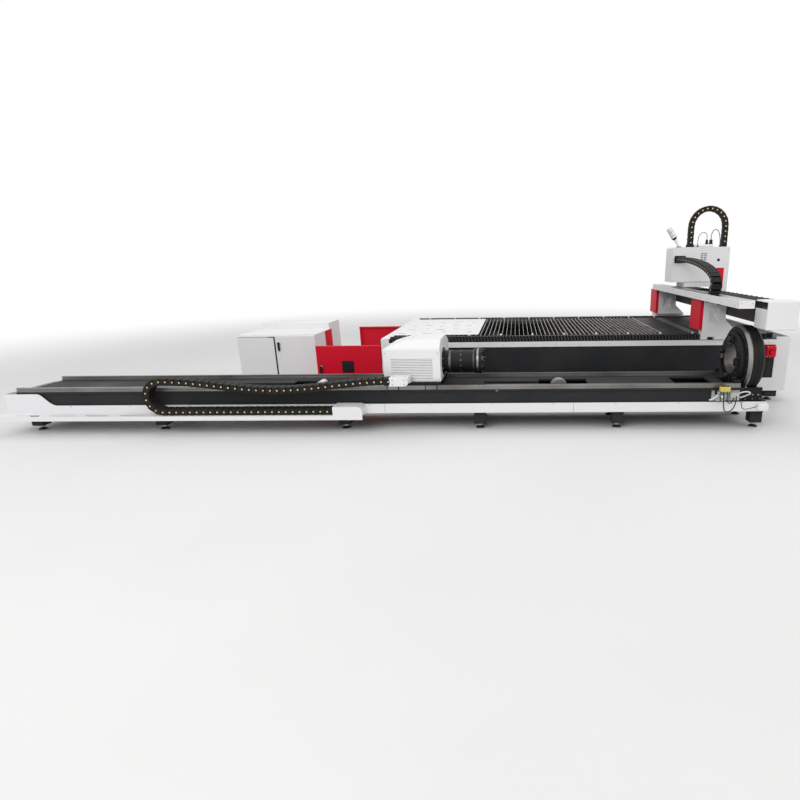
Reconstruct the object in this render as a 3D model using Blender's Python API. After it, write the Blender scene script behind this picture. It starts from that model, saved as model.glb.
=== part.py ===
# Fiber laser cutting machine: a sheet bed with a moving gantry, and a tube bed with two chucks
# Metres, +Z up. X runs along both beds, Y from the tube bed to the sheet bed.
# The origin is on the floor, under the middle of the tube bed's first levelling foot.
import itertools
from math import cos, hypot, pi, radians, sin

import bmesh
import bpy
from mathutils import Matrix, Vector

for thing in list(bpy.data.objects):
    bpy.data.objects.remove(thing, do_unlink=True)

# Values that many pieces share
SEAT = 0.0003  # gap between pieces that touch
RUN = 0.004  # clearance round pieces that turn or slide
OVERRUN = 0.02  # how far a cutter passes through a wall
SHEET = 0.004  # folded sheet steel
PLATE = 0.02  # welded plate
ROUND_STEPS = 24
SMALL_STEPS = 10

# Levelling feet
FOOT_RADIUS = 0.042
FOOT_PAD = 0.012
STEM_RADIUS = 0.014
FOOT_HEIGHT = 0.055
FOOT_STEPS = 8

# Tube bed
TUBE_LENGTH = 7.28
TUBE_WIDTH = 0.575
FOOT_FROM_END = 0.10
FOOT_FROM_FRONT = 0.08
LAST_FOOT_FROM_END = 0.072
BASE_LOW = 0.178
BASE_TOP = 0.272
FLOOR_TOP = BASE_LOW + SEAT + PLATE
DECK_TOP = 0.408
DECK_THICK = 0.018
DECK_SHORT = 0.23  # the deck ends this far before the base does
WEB_BACK = 0.018  # the dark webs stand back from the deck's edge
LEG_WIDE = 0.11
LEG_DEEP = 0.10
TUBE_LEFT = -FOOT_FROM_END
TUBE_RIGHT = TUBE_LEFT + TUBE_LENGTH
TUBE_FRONT = -FOOT_FROM_FRONT
TUBE_REAR = TUBE_FRONT + TUBE_WIDTH
DECK_RIGHT = TUBE_RIGHT - DECK_SHORT
DECK_LOW = DECK_TOP - DECK_THICK
WEB_FRONT = TUBE_FRONT + WEB_BACK
WEB_REAR = TUBE_REAR - WEB_BACK
LAST_FOOT = TUBE_RIGHT - LAST_FOOT_FROM_END
FOOT_ROWS = (0, TUBE_WIDTH - FOOT_FROM_FRONT - FOOT_FROM_FRONT)
FOOT_PLACE_SHARES = (0, 0.179, 0.439, 0.627, 0.815, 1)

# Rails of the tube bed
RAIL_WIDE = 0.034
RAIL_HIGH = 0.041
RAIL_EDGE = 0.006  # from the deck's edge to the rail
RAIL_SHORT = 0.03
RAIL_LOW = DECK_TOP + SEAT
RAIL_TOP = RAIL_LOW + RAIL_HIGH
RAIL_RIGHT = DECK_RIGHT - RAIL_SHORT

# Both chucks turn on one axis along X
AXIS_Y = 0.21
AXIS_Z = 0.632

# Front chuck
HOUSING_LEFT = 6.957
HOUSING_LONG = 0.15
HOUSING_RADIUS = 0.329
FRONT_DRUM_RADIUS = 0.2585
FRONT_DRUM_LONG = 0.047
FRONT_BORE_RADIUS = 0.15
HOUSING_RIGHT = HOUSING_LEFT + HOUSING_LONG
FRONT_DRUM_LEFT = HOUSING_LEFT - SEAT - FRONT_DRUM_LONG

# Rear chuck and its carriage
CARRIAGE_LEFT = 3.545
CARRIAGE_LONG = 0.545
CARRIAGE_THICK = 0.03
CARRIAGE_FRONT = TUBE_FRONT + 2 * RAIL_EDGE
HOOD_FRONT = -0.035
HOOD_DEEP = 0.65
HOOD_TOP = 0.872
REAR_DRUM_RADIUS = 0.107
REAR_DRUM_LONG = 0.30
NOSE_RADIUS = 0.124
NOSE_LONG = 0.075
CARRIAGE_RIGHT = CARRIAGE_LEFT + CARRIAGE_LONG
CARRIAGE_LOW = RAIL_TOP + SEAT
CARRIAGE_TOP = CARRIAGE_LOW + CARRIAGE_THICK

# Drag chain of the tube bed
LINK_PITCH = 0.0665
LINK_HIGH = 0.063
LINK_WIDE = 0.10
CHAIN_BEND = 0.15
CHAIN_BEND_PLACE = 1.43
CHAIN_CLAMP = 3.08
CHAIN_END = 3.628
CHAIN_SAG = 0.085
CHAIN_RISE = 0.014  # the moving end is lower than the bend's top
TRAY_TOP = 0.200
TRAY_FRONT = -0.235
TRAY_LIP = 0.042
CHAIN_MIDDLE = -0.155
CHAIN_LOW = TRAY_TOP + SEAT + LINK_HIGH / 2

# Sheet bed
BED_LEFT = 3.29
BED_LENGTH = 4.54
BED_FRONT = 0.90
BED_DEPTH = 2.05
BED_RAIL_SEAT = 0.711
BED_COVER = 0.02  # thickness that the covers and panels take outside the frame
BED_BEAM_DEEP = 0.12
REAR_BEAM_DEEP = 0.23
BED_RIGHT = BED_LEFT + BED_LENGTH
BED_REAR = BED_FRONT + BED_DEPTH
BEAM_FACE_FRONT = BED_FRONT + BED_COVER + BED_BEAM_DEEP
BEAM_FACE_REAR = BED_REAR - BED_COVER - REAR_BEAM_DEEP
SLATS_FRONT = BEAM_FACE_FRONT + SEAT
SLATS_SHORT = 0.04  # the slats end this far before the rear beam
SLATS_DEEP = BEAM_FACE_REAR - SLATS_SHORT - SLATS_FRONT
SLATS_LOW = 0.690
SLATS_TOP = 0.770
SLATS_IN = 0.11
SLATS_LEFT = BED_LEFT + SLATS_IN
SLAT_PITCH = 0.05
SLAT_THICK = 0.005
SLAT_COUNT = 60
SLATS_REAR = SLATS_FRONT + SLATS_DEEP
BED_RAIL_HIGH = 0.058
BED_RAIL_WIDE = 0.05
BED_RAIL_IN = 0.025
BED_RAIL_FRONT = BED_FRONT + BED_RAIL_IN
BED_RAIL_REAR_IN = 0.10  # from the rear beam's inner face
BED_RAIL_REAR = BEAM_FACE_REAR + BED_RAIL_REAR_IN
BED_RAIL_END = 0.10  # the rails stop this far from the bed's ends
BED_RAIL_TOP = BED_RAIL_SEAT + SEAT + BED_RAIL_HIGH

# Gantry
BEAM_LEFT = 7.10
BEAM_WIDE = 0.22
BEAM_LOW = 0.985
BEAM_HIGH = 0.17
BEAM_FRONT = 0.075
LEG_OUT = 0.02  # how far the front leg stands out past the bed's cover
REAR_LEG_OUT = 0.08  # how far the rear leg and the beam do
BEAM_REAR = BED_REAR + REAR_LEG_OUT
BEAM_RIGHT = BEAM_LEFT + BEAM_WIDE
BEAM_TOP = BEAM_LOW + BEAM_HIGH
LEG_LEFT = 6.85
LEG_LONG = 0.24
LEG_FOOT_LONG = 0.39
LEG_BODY = 0.32
LEG_FRONT = BED_FRONT - LEG_OUT
REAR_LEG_FRONT = BEAM_REAR - LEG_BODY
GANTRY_TRAY_LEFT = 6.77
GANTRY_TRAY_WIDE = 0.135
TRAY_REACH = 0.285  # how far the tray passes the beam's front end
TRAY_SHORT = 0.26  # how far before the beam's rear end it stops
GANTRY_TRAY_FRONT = BEAM_FRONT - TRAY_REACH
GANTRY_TRAY_REAR = BEAM_REAR - TRAY_SHORT
GANTRY_TRAY_HIGH = 0.07

# Cutting head
HEAD_LEFT = 6.75
HEAD_WIDE = 0.69
HEAD_FRONT = 1.82
HEAD_DEEP = 0.30
HEAD_TOP = 1.71
HEAD_LOW = 1.29
TOWER_LEFT = 7.345  # the part that hangs beside the beam
TOWER_LOW = 0.99
HEAD_RIGHT = HEAD_LEFT + HEAD_WIDE
HEAD_MIDDLE = HEAD_FRONT + HEAD_DEEP / 2


# Finishes

def finish(name, colour, rough, metal=0.0):
    made = bpy.data.materials.new(name)
    made.use_nodes = True
    shader = made.node_tree.nodes["Principled BSDF"]
    shader.inputs["Base Color"].default_value = (*colour, 1)
    shader.inputs["Roughness"].default_value = rough
    shader.inputs["Metallic"].default_value = metal
    return made


WHITE = finish("white paint", (0.84, 0.85, 0.85), 0.45)
CHARCOAL = finish("charcoal paint", (0.05, 0.055, 0.06), 0.5)
BLACK = finish("black paint", (0.02, 0.02, 0.022), 0.45)
RED = finish("red paint", (0.60, 0.015, 0.03), 0.4)
STEEL = finish("bright steel", (0.62, 0.62, 0.60), 0.3, 1.0)
DARK_STEEL = finish("dark steel", (0.10, 0.10, 0.105), 0.4, 1.0)
LINK_BLACK = finish("black nylon", (0.018, 0.017, 0.017), 0.5)
GREY = finish("grey paint", (0.42, 0.43, 0.43), 0.5)


# Ways of making a solid

def put(name, bm, look):
    bmesh.ops.recalc_face_normals(bm, faces=bm.faces)
    mesh = bpy.data.meshes.new(name)
    bm.to_mesh(mesh)
    bm.free()
    mesh.materials.append(look)
    piece = bpy.data.objects.new(name, mesh)
    bpy.context.scene.collection.objects.link(piece)
    return piece


# Moves a piece's origin to a point of its joint's axis, and leaves its shape where it is
def pivot(piece, point):
    piece.data.transform(Matrix.Translation(-Vector(point)))
    piece.location = point
    return piece


# One closed body from box members (x, x, y, y, z, z) that share faces, less the boxes left open
def welded(name, members, look, left_open=()):
    boxes = [[round(value, 6) for value in box] for box in members]
    holes = [[round(value, 6) for value in box] for box in left_open]
    cuts = [sorted({v for box in boxes + holes for v in box[a:a + 2]}) for a in (0, 2, 4)]

    def cells(box):
        spans = [range(cut.index(box[2 * a]), cut.index(box[2 * a + 1])) for a, cut in enumerate(cuts)]
        return set(itertools.product(*spans))

    filled = set().union(*map(cells, boxes)) - set().union(*map(cells, holes))
    bm = bmesh.new()
    corners = {}

    def corner(key):
        if key not in corners:
            corners[key] = bm.verts.new([cut[k] for cut, k in zip(cuts, key)])
        return corners[key]

    for cell in sorted(filled):
        for axis, side in itertools.product(range(3), (0, 1)):
            beside = list(cell)
            beside[axis] += 2 * side - 1
            if tuple(beside) in filled:
                continue
            key = [list(cell) for _ in range(4)]
            for step, (across, up) in zip(key, ((0, 0), (1, 0), (1, 1), (0, 1))):
                step[axis] += side
                step[(axis + 1) % 3] += across
                step[(axis + 2) % 3] += up
            bm.faces.new([corner(tuple(k)) for k in key])
    bmesh.ops.recalc_face_normals(bm, faces=bm.faces)
    bmesh.ops.dissolve_limit(bm, angle_limit=radians(1), verts=bm.verts, edges=bm.edges)
    return put(name, bm, look)


def block(name, box, look):
    return welded(name, [box], look)


# An outline across an axis, drawn out from start to end
def extruded(name, outline, axis, start, end, look):
    bm = bmesh.new()
    rings = []
    for along in (start, end):
        ring = []
        for point in outline:
            place = list(point)
            place.insert(axis, along)
            ring.append(bm.verts.new(place))
        rings.append(ring)
        bm.faces.new(ring)
    for n in range(len(outline)):
        bm.faces.new([rings[0][n - 1], rings[0][n], rings[1][n], rings[1][n - 1]])
    return put(name, bm, look)


# A profile of (radius, place along) turned about the axis through a centre; hollow joins its ends
def turned(name, profile, centre, axis, look, steps=ROUND_STEPS, hollow=False):
    bm = bmesh.new()
    rings = []
    for radius, along in profile:
        ring = []
        for n in range(steps if radius else 1):
            turn = 2 * pi * (n + 0.5) / steps
            place = [centre[0] + radius * cos(turn), centre[1] + radius * sin(turn)]
            place.insert(axis, along)
            ring.append(bm.verts.new(place))
        rings.append(ring)
    pairs = list(zip(rings, rings[1:] + rings[:1])) if hollow else list(zip(rings, rings[1:]))
    for one, other in pairs:
        for n in range(steps):
            last_one, last_other = (n - 1) % len(one), (n - 1) % len(other)
            quad = [one[last_one], one[n % len(one)], other[n % len(other)], other[last_other]]
            bm.faces.new(list(dict.fromkeys(quad)))
    if not hollow:
        for ring in (rings[0], rings[-1]):
            if len(ring) > 1:
                bm.faces.new(ring)
    piece = put(name, bm, look)
    piece.data.shade_smooth()
    piece.data.set_sharp_from_angle(angle=radians(35))
    return piece


def tool(piece):
    piece.hide_render = True
    piece.display_type = "WIRE"
    return piece


def cut(piece, cutter):
    change = piece.modifiers.new("cut", "BOOLEAN")
    change.operation = "DIFFERENCE"
    change.solver = "EXACT"
    change.object = tool(cutter)
    return piece


def weld(piece, part):
    change = piece.modifiers.new("weld", "BOOLEAN")
    change.operation = "UNION"
    change.solver = "EXACT"
    change.object = tool(part)
    return piece


def soften(piece, width, segments=1):
    change = piece.modifiers.new("edge", "BEVEL")
    change.width = width
    change.segments = segments
    change.limit_method = "ANGLE"
    change.angle_limit = radians(40)
    return piece


# An outline's corners (across, up, radius) with round ones drawn as arcs
def rounded(corners, steps=4):
    outline = []
    for n, (across, up, radius) in enumerate(corners):
        here = Vector((across, up))
        if not radius:
            outline.append(tuple(here))
            continue
        before = (Vector(corners[n - 1][:2]) - here).normalized()
        after = (Vector(corners[(n + 1) % len(corners)][:2]) - here).normalized()
        half = before.angle(after) / 2
        middle = here + (before + after).normalized() * radius / sin(half)
        start = here + before * radius / (sin(half) / cos(half)) - middle
        turn = (pi - 2 * half) / steps * (1 if before.cross(after) < 0 else -1)
        for step in range(steps + 1):
            outline.append(tuple(middle + Matrix.Rotation(turn * step, 2) @ start))
    return outline


# A drag chain as one body: along a path in the plane across an axis, a full link and a thin neck in turn
NECK_HIGH_SHARE = 0.72
NECK_WIDE_SHARE = 0.86
LINK_RING_SHARES = ((0.02, False), (0.10, True), (0.84, True), (0.92, False))


def linked(name, path, axis, middle, wide, high, pitch, look):
    lengths = [0]
    for a, b in zip(path, path[1:]):
        lengths.append(lengths[-1] + hypot(b[0] - a[0], b[1] - a[1]))

    def at(length):
        n = next((k for k in range(1, len(path)) if lengths[k] >= length), len(path) - 1)
        a, b = Vector(path[n - 1]), Vector(path[n])
        along = (b - a).normalized()
        return a + along * (length - lengths[n - 1]), along

    count = round(lengths[-1] / pitch)
    step = lengths[-1] / count
    bm = bmesh.new()
    rings = []
    for link in range(count):
        for share, full in LINK_RING_SHARES:
            if (link, share) == (0, LINK_RING_SHARES[0][0]):
                share = 0
            if (link, share) == (count - 1, LINK_RING_SHARES[-1][0]):
                share = 1
            point, along = at((link + share) * step)
            up = Vector((-along[1], along[0])) * high / 2 * (1 if full else NECK_HIGH_SHARE)
            out = wide / 2 * (1 if full else NECK_WIDE_SHARE)
            ring = []
            for side, level in ((-out, -1), (out, -1), (out, 1), (-out, 1)):
                place = list(point + up * level)
                place.insert(axis, middle + side)
                ring.append(bm.verts.new(place))
            rings.append(ring)
    for one, other in zip(rings, rings[1:]):
        for n in range(4):
            bm.faces.new([one[n - 1], one[n], other[n], other[n - 1]])
    bm.faces.new(rings[0])
    bm.faces.new(rings[-1])
    return put(name, bm, look)


# Points of an arc in a plane, from one angle to another in degrees
def arc(centre, radius, start, end, steps=16):
    turns = [radians(start + (end - start) * n / steps) for n in range(steps + 1)]
    return [(centre[0] + radius * cos(t), centre[1] + radius * sin(t)) for t in turns]


# A run of chain that droops between two points and leaves both level
def droop(start, end, sag, steps=24):
    points = []
    for n in range(1, steps + 1):
        share = n / steps
        drop = sag * sin(pi * share) ** 2
        points.append((start[0] + (end[0] - start[0]) * share, start[1] + (end[1] - start[1]) * share - drop))
    return points


# All levelling feet of one frame, with stems that pass into its legs
def feet(name, places, into):
    top = FOOT_HEIGHT + into
    bm = bmesh.new()
    for x, y in places:
        one = turned("foot", foot_profile(top), (x, y), 2, STEEL, FOOT_STEPS)
        bm.from_mesh(one.data)
        bpy.data.objects.remove(one, do_unlink=True)
    return put(name, bm, STEEL)


def foot_profile(top):
    shoulder = FOOT_PAD + STEM_RADIUS
    pad = [(0, 0), (FOOT_RADIUS, 0), (FOOT_RADIUS, FOOT_PAD)]
    return pad + [(STEM_RADIUS, shoulder), (STEM_RADIUS, top), (0, top)]


# Tube bed

def tube_foot_places():
    return [share * LAST_FOOT for share in FOOT_PLACE_SHARES]


def tube_bed_beam():
    skirt_back = TUBE_FRONT + SHEET + SEAT
    under_deck = DECK_LOW - SEAT
    members = [
        (TUBE_LEFT, TUBE_RIGHT, skirt_back, WEB_FRONT + PLATE, BASE_LOW, BASE_TOP),
        (TUBE_LEFT, TUBE_RIGHT, WEB_REAR - PLATE, TUBE_REAR, BASE_LOW, BASE_TOP),
        (TUBE_LEFT, DECK_RIGHT, WEB_FRONT, WEB_FRONT + PLATE, BASE_LOW, under_deck),
        (TUBE_LEFT, DECK_RIGHT, WEB_REAR - PLATE, WEB_REAR, BASE_LOW, under_deck),
        (TUBE_LEFT, TUBE_LEFT + PLATE, WEB_FRONT, WEB_REAR, BASE_LOW, under_deck),
        (DECK_RIGHT, TUBE_RIGHT, skirt_back, TUBE_REAR, BASE_TOP - PLATE, BASE_TOP),
    ]
    half_wide, half_deep = LEG_WIDE / 2, LEG_DEEP / 2
    for x, y in itertools.product(tube_foot_places(), FOOT_ROWS):
        members.append((x - half_wide, x + half_wide, y - half_deep, y + half_deep, FOOT_HEIGHT, BASE_LOW))
    beam = welded("tube_bed_beam", members, CHARCOAL)
    weld(beam, feet("tube_bed_feet", itertools.product(tube_foot_places(), FOOT_ROWS), LEG_DEEP / 4))


# Floor of the tube bed, which lies between the two sides and catches slag
def tube_bed_floor():
    left, right = TUBE_LEFT + PLATE + SEAT, TUBE_RIGHT - SEAT
    front, rear = WEB_FRONT + PLATE + SEAT, WEB_REAR - PLATE - SEAT
    block("tube_bed_floor", (left, right, front, rear, FLOOR_TOP - PLATE, FLOOR_TOP), CHARCOAL)


# Openings in the deck for the tube supports: a narrow slot and then a wide one
SLOT_LEFTS = (1.98, 4.49)
SLOT_NARROW_LONG = 0.55
SLOT_WIDE_LONG = 0.48
SLOT_NARROW = 0.09
SLOT_WIDE = 0.27
DECK_END_OPENING = 0.34
DECK_END_LONG = 0.10
BAY_LEFT = 6.37
BAY_LONG = 0.36


def deck_opening(left, long, wide):
    return (left, left + long, AXIS_Y - wide / 2, AXIS_Y + wide / 2, DECK_LOW, DECK_TOP)


def tube_bed_deck():
    opened = [deck_opening(BAY_LEFT, BAY_LONG, DECK_END_OPENING)]
    opened.append(deck_opening(DECK_RIGHT - DECK_END_LONG, DECK_END_LONG, DECK_END_OPENING))
    for left in SLOT_LEFTS:
        opened.append(deck_opening(left, SLOT_NARROW_LONG, SLOT_NARROW))
        opened.append(deck_opening(left + SLOT_NARROW_LONG, SLOT_WIDE_LONG, SLOT_WIDE))
    deck = [(TUBE_LEFT, DECK_RIGHT, TUBE_FRONT, TUBE_REAR, DECK_LOW, DECK_TOP)]
    welded("tube_bed_deck", deck, CHARCOAL, opened)


RAIL_GROOVE_SHARE = 0.2
RAIL_GROOVE_LOW_SHARE = 0.4
RAIL_GROOVE_TOP_SHARE = 0.75


def rail_outline(front, wide, low, high):
    groove = wide * RAIL_GROOVE_SHARE
    waist, neck = low + high * RAIL_GROOVE_LOW_SHARE, low + high * RAIL_GROOVE_TOP_SHARE
    left = [(front, low), (front, waist), (front + groove, waist), (front + groove, neck), (front, neck)]
    left.append((front, low + high))
    return left + [(2 * front + wide - y, z) for y, z in reversed(left)]


def deck_rails():
    fronts = (TUBE_FRONT + RAIL_EDGE, TUBE_REAR - RAIL_EDGE - RAIL_WIDE)
    for name, front in zip(("deck_rail_front", "deck_rail_rear"), fronts):
        outline = rail_outline(front, RAIL_WIDE, RAIL_LOW, RAIL_HIGH)
        extruded(name, outline, 0, TUBE_LEFT, RAIL_RIGHT, STEEL)


# White skirt along the tube bed's foot, rising in an S to a cover at the left end
COVER_OUT = 0.13  # how far the cover passes the bed's left end
COVER_TOP = DECK_LOW - SEAT
CURVE_LEFT = 0.10
CURVE_LONG = 0.20
CURVE_LEAN = 1.35  # above 1 the curve is tight at its top and wide at its foot
CURVE_STEPS = 10


def side_skirt():
    left, right = TUBE_LEFT - COVER_OUT, TUBE_RIGHT
    outline = [(left, BASE_LOW), (right, BASE_LOW), (right, BASE_TOP)]
    for n in range(CURVE_STEPS + 1):
        share = n / CURVE_STEPS
        rise = (1 - cos(pi * share ** CURVE_LEAN)) / 2
        outline.append((CURVE_LEFT + CURVE_LONG * (1 - share), BASE_TOP + (COVER_TOP - BASE_TOP) * rise))
    outline.append((left, COVER_TOP))
    skirt = extruded("side_skirt", outline, 1, TUBE_FRONT, TUBE_FRONT + SHEET, WHITE)
    end = (left, left + SHEET, TUBE_FRONT + SHEET / 2, TUBE_REAR, BASE_LOW, COVER_TOP)
    flange = (left, TUBE_LEFT - SEAT, TUBE_REAR - SHEET, TUBE_REAR, BASE_LOW, COVER_TOP)
    weld(skirt, welded("skirt_return", [end, flange], WHITE))


# Chain tray in front of the skirt, with long drain slots in its floor
TRAY_SLOT_FIRST = -0.05
TRAY_SLOT_PITCH = 0.345
TRAY_SLOT_LONG = 0.23
TRAY_SLOT_WIDE = 0.04
TRAY_SLOT_FRONT = 0.03
TRAY_SLOTS = 4
CLAMP_COVER_LONG = 0.28
CLAMP_COVER_HIGH = 0.085
CLAMP_COVER_ROUND = 0.045


def chain_tray():
    left, right = TUBE_LEFT - COVER_OUT, CHAIN_CLAMP + CLAMP_COVER_LONG
    back = TUBE_FRONT - SEAT
    floor = (left, right, TRAY_FRONT, back, TRAY_TOP - SHEET, TRAY_TOP)
    lip = (left, right, TRAY_FRONT, TRAY_FRONT + SHEET, TRAY_TOP - TRAY_LIP, TRAY_TOP)
    slots = []
    for n in range(TRAY_SLOTS):
        start = TRAY_SLOT_FIRST + n * TRAY_SLOT_PITCH
        front = TRAY_FRONT + TRAY_SLOT_FRONT
        end, rear = start + TRAY_SLOT_LONG, front + TRAY_SLOT_WIDE
        slots.append((start, end, front, rear, TRAY_TOP - SHEET, TRAY_TOP))
    welded("chain_tray", [floor, lip], WHITE, slots)


def chain_clamp_cover():
    left, low = CHAIN_CLAMP + SEAT, TRAY_TOP + SEAT
    right, top = CHAIN_CLAMP + CLAMP_COVER_LONG, TRAY_TOP + CLAMP_COVER_HIGH
    corners = [(left, low, 0), (right, low, 0), (right, top, CLAMP_COVER_ROUND), (left, top, 0)]
    extruded("chain_clamp_cover", rounded(corners), 1, TRAY_FRONT, TUBE_FRONT - SEAT, WHITE)


def tube_chain():
    bend = (CHAIN_BEND_PLACE, CHAIN_LOW + CHAIN_BEND)
    top = bend[1] + CHAIN_BEND
    path = [(CHAIN_CLAMP, CHAIN_LOW)] + arc(bend, CHAIN_BEND, -90, -270)
    path += droop((CHAIN_BEND_PLACE, top), (CHAIN_END, top - CHAIN_RISE), CHAIN_SAG)
    linked("tube_chain", path, 1, CHAIN_MIDDLE, LINK_WIDE, LINK_HIGH, LINK_PITCH, LINK_BLACK)


# Tube supports: a bracket that lifts out of the wide slot, with a roller on it
SUPPORT_PLACES = (2.84, 5.24)
SUPPORT_RADII = (0.035, 0.085)
ROLLER_LONG = 0.12
FORK_THICK = 0.012
FORK_PLATE = 0.012
PIN_RADIUS = 0.008
ROLLER_TOP = RAIL_TOP - RUN


def tube_supports():
    for n, (x, radius) in enumerate(zip(SUPPORT_PLACES, SUPPORT_RADII), 1):
        axle = ROLLER_TOP - radius
        front, rear = AXIS_Y - ROLLER_LONG / 2, AXIS_Y + ROLLER_LONG / 2
        half = radius / 2
        floor = FLOOR_TOP + SEAT
        fork_top = axle + PIN_RADIUS + FORK_THICK
        fork_front, fork_rear = front - RUN - FORK_THICK, rear + RUN + FORK_THICK
        members = [(x - half, x + half, fork_front, fork_rear, floor, floor + FORK_PLATE)]
        members.append((x - half, x + half, fork_front, front - RUN, floor, fork_top))
        members.append((x - half, x + half, rear + RUN, fork_rear, floor, fork_top))
        fork = welded(f"support_fork_{n}", members, GREY)
        loose = PIN_RADIUS + SEAT + SEAT
        hole = [(loose, fork_front - OVERRUN), (loose, fork_rear + OVERRUN)]
        cut(fork, turned("pin_hole", hole, (x, axle), 1, GREY, SMALL_STEPS))
        profile = [(PIN_RADIUS, fork_front), (PIN_RADIUS, front), (radius, front), (radius, rear)]
        profile += [(PIN_RADIUS, rear), (PIN_RADIUS, fork_rear)]
        pivot(turned(f"support_roller_{n}", profile, (x, axle), 1, WHITE, ROUND_STEPS), (x, AXIS_Y, axle))


# Front chuck: a base, a fixed housing, a drum that turns in it and four jaws on the drum's face
CHUCK_BASE_IN = 0.03
CHUCK_BASE_TOP = 0.40
JOURNAL_RADIUS = 0.235
CHUCK_BASE_PAST = 0.03  # how far the base passes the housing's right face
RIM_DEEP = 0.05
RIM_STEP = 0.02
RIM_GROOVE = 0.006
JAW_WIDE = 0.07
JAW_THICK = 0.035
JAW_OUT = AXIS_Z - DECK_TOP - 2 * RUN  # the lowest jaw clears the deck
JAW_IN = 0.155
JAW_STEP = 0.03


def front_chuck():
    centre = (AXIS_Y, AXIS_Z)
    left, right = HOUSING_LEFT + SEAT, HOUSING_RIGHT + CHUCK_BASE_PAST
    front, rear = TUBE_FRONT + CHUCK_BASE_IN, TUBE_REAR - CHUCK_BASE_IN
    base = block("front_chuck_base", (left, right, front, rear, BASE_TOP + SEAT, CHUCK_BASE_TOP), BLACK)
    bed = [(HOUSING_RADIUS + SEAT, left - OVERRUN), (HOUSING_RADIUS + SEAT, right + OVERRUN)]
    cut(base, turned("housing_seat", bed, centre, 0, BLACK, 2 * ROUND_STEPS))
    bore, body = JOURNAL_RADIUS + RUN, HOUSING_RADIUS - RIM_GROOVE
    profile = [(bore, HOUSING_LEFT), (HOUSING_RADIUS - RIM_STEP, HOUSING_LEFT)]
    profile += [(HOUSING_RADIUS, HOUSING_LEFT + RIM_STEP), (HOUSING_RADIUS, HOUSING_LEFT + RIM_DEEP)]
    profile += [(body, HOUSING_LEFT + RIM_DEEP), (body, HOUSING_RIGHT - RIM_STEP)]
    profile += [(body - RIM_STEP, HOUSING_RIGHT), (bore, HOUSING_RIGHT)]
    turned("front_chuck_housing", profile, centre, 0, BLACK, 2 * ROUND_STEPS, hollow=True)
    edge = FRONT_DRUM_RADIUS - RIM_STEP
    shoulder = HOUSING_LEFT - SEAT
    drum = [(FRONT_BORE_RADIUS, FRONT_DRUM_LEFT), (edge, FRONT_DRUM_LEFT)]
    drum += [(FRONT_DRUM_RADIUS, FRONT_DRUM_LEFT + RIM_STEP), (FRONT_DRUM_RADIUS, shoulder)]
    drum += [(JOURNAL_RADIUS, shoulder), (JOURNAL_RADIUS, HOUSING_RIGHT)]
    drum += [(FRONT_BORE_RADIUS, HOUSING_RIGHT)]
    rotor = turned("front_chuck_drum", drum, centre, 0, BLACK, 2 * ROUND_STEPS, hollow=True)
    pivot(rotor, (FRONT_DRUM_LEFT, AXIS_Y, AXIS_Z))
    for n in range(4):
        front_jaw(n)


# A stepped jaw drawn above the axis and turned to its place
def front_jaw(n):
    face = FRONT_DRUM_LEFT - SEAT
    low, top = AXIS_Z + JAW_IN, AXIS_Z + JAW_OUT
    half = JAW_WIDE / 2
    outline = [(face, low), (face, top), (face - JAW_THICK / 2, top), (face - JAW_THICK, top - JAW_STEP)]
    outline += [(face - JAW_THICK, low + JAW_STEP / 2), (face - JAW_THICK + JAW_STEP / 2, low)]
    jaw = extruded(f"front_jaw_{n + 1}", outline, 1, AXIS_Y - half, AXIS_Y + half, DARK_STEEL)
    pivot(jaw, (face, AXIS_Y, AXIS_Z))
    jaw.rotation_euler = (n * pi / 2, 0, 0)


# Rear chuck: a carriage on the rails, a hood over its headstock and drive, and a drum with a jawed nose
HOOD_ROUND = 0.04
HOOD_SLOPE_DEEP = 0.095
HOOD_SLOPE_HIGH = 0.072
HOOD_REAR_SLOPE_DEEP = 0.20
HOOD_REAR_SLOPE_HIGH = 0.085
HOOD_HIP_LONG = 0.225
HOOD_HIP_HIGH = 0.08
HOOD_WALL = 0.006
HEADSTOCK_LONG = 0.16
HEADSTOCK_HALF = 0.17
SPINDLE_RADIUS = 0.06
REAR_BORE_RADIUS = 0.045


def rear_chuck_carriage():
    rear = TUBE_REAR - (CARRIAGE_FRONT - TUBE_FRONT)
    head_left = CARRIAGE_RIGHT - HOOD_WALL - RUN - HEADSTOCK_LONG
    head = (head_left, head_left + HEADSTOCK_LONG, AXIS_Y - HEADSTOCK_HALF, AXIS_Y + HEADSTOCK_HALF)
    members = [(CARRIAGE_LEFT, CARRIAGE_RIGHT, CARRIAGE_FRONT, rear, CARRIAGE_LOW, CARRIAGE_TOP)]
    members.append((*head, CARRIAGE_TOP, AXIS_Z + HEADSTOCK_HALF))
    carriage = welded("rear_chuck_carriage", members, BLACK)
    hole = [(SPINDLE_RADIUS + RUN / 4, head[0] - OVERRUN), (SPINDLE_RADIUS + RUN / 4, head[1] + OVERRUN)]
    cut(carriage, turned("spindle_hole", hole, (AXIS_Y, AXIS_Z), 0, BLACK))


def hood_outline(inset, low):
    front, rear = HOOD_FRONT + inset, HOOD_FRONT + HOOD_DEEP - inset
    top = HOOD_TOP - inset
    corners = [(front, low, 0), (rear, low, 0), (rear, top - HOOD_REAR_SLOPE_HIGH, HOOD_ROUND)]
    corners.append((rear - HOOD_REAR_SLOPE_DEEP, top, HOOD_ROUND))
    corners.append((front + HOOD_SLOPE_DEEP, top, HOOD_ROUND))
    corners.append((front, top - HOOD_SLOPE_HIGH, HOOD_ROUND))
    return rounded(corners, 3)


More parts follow.
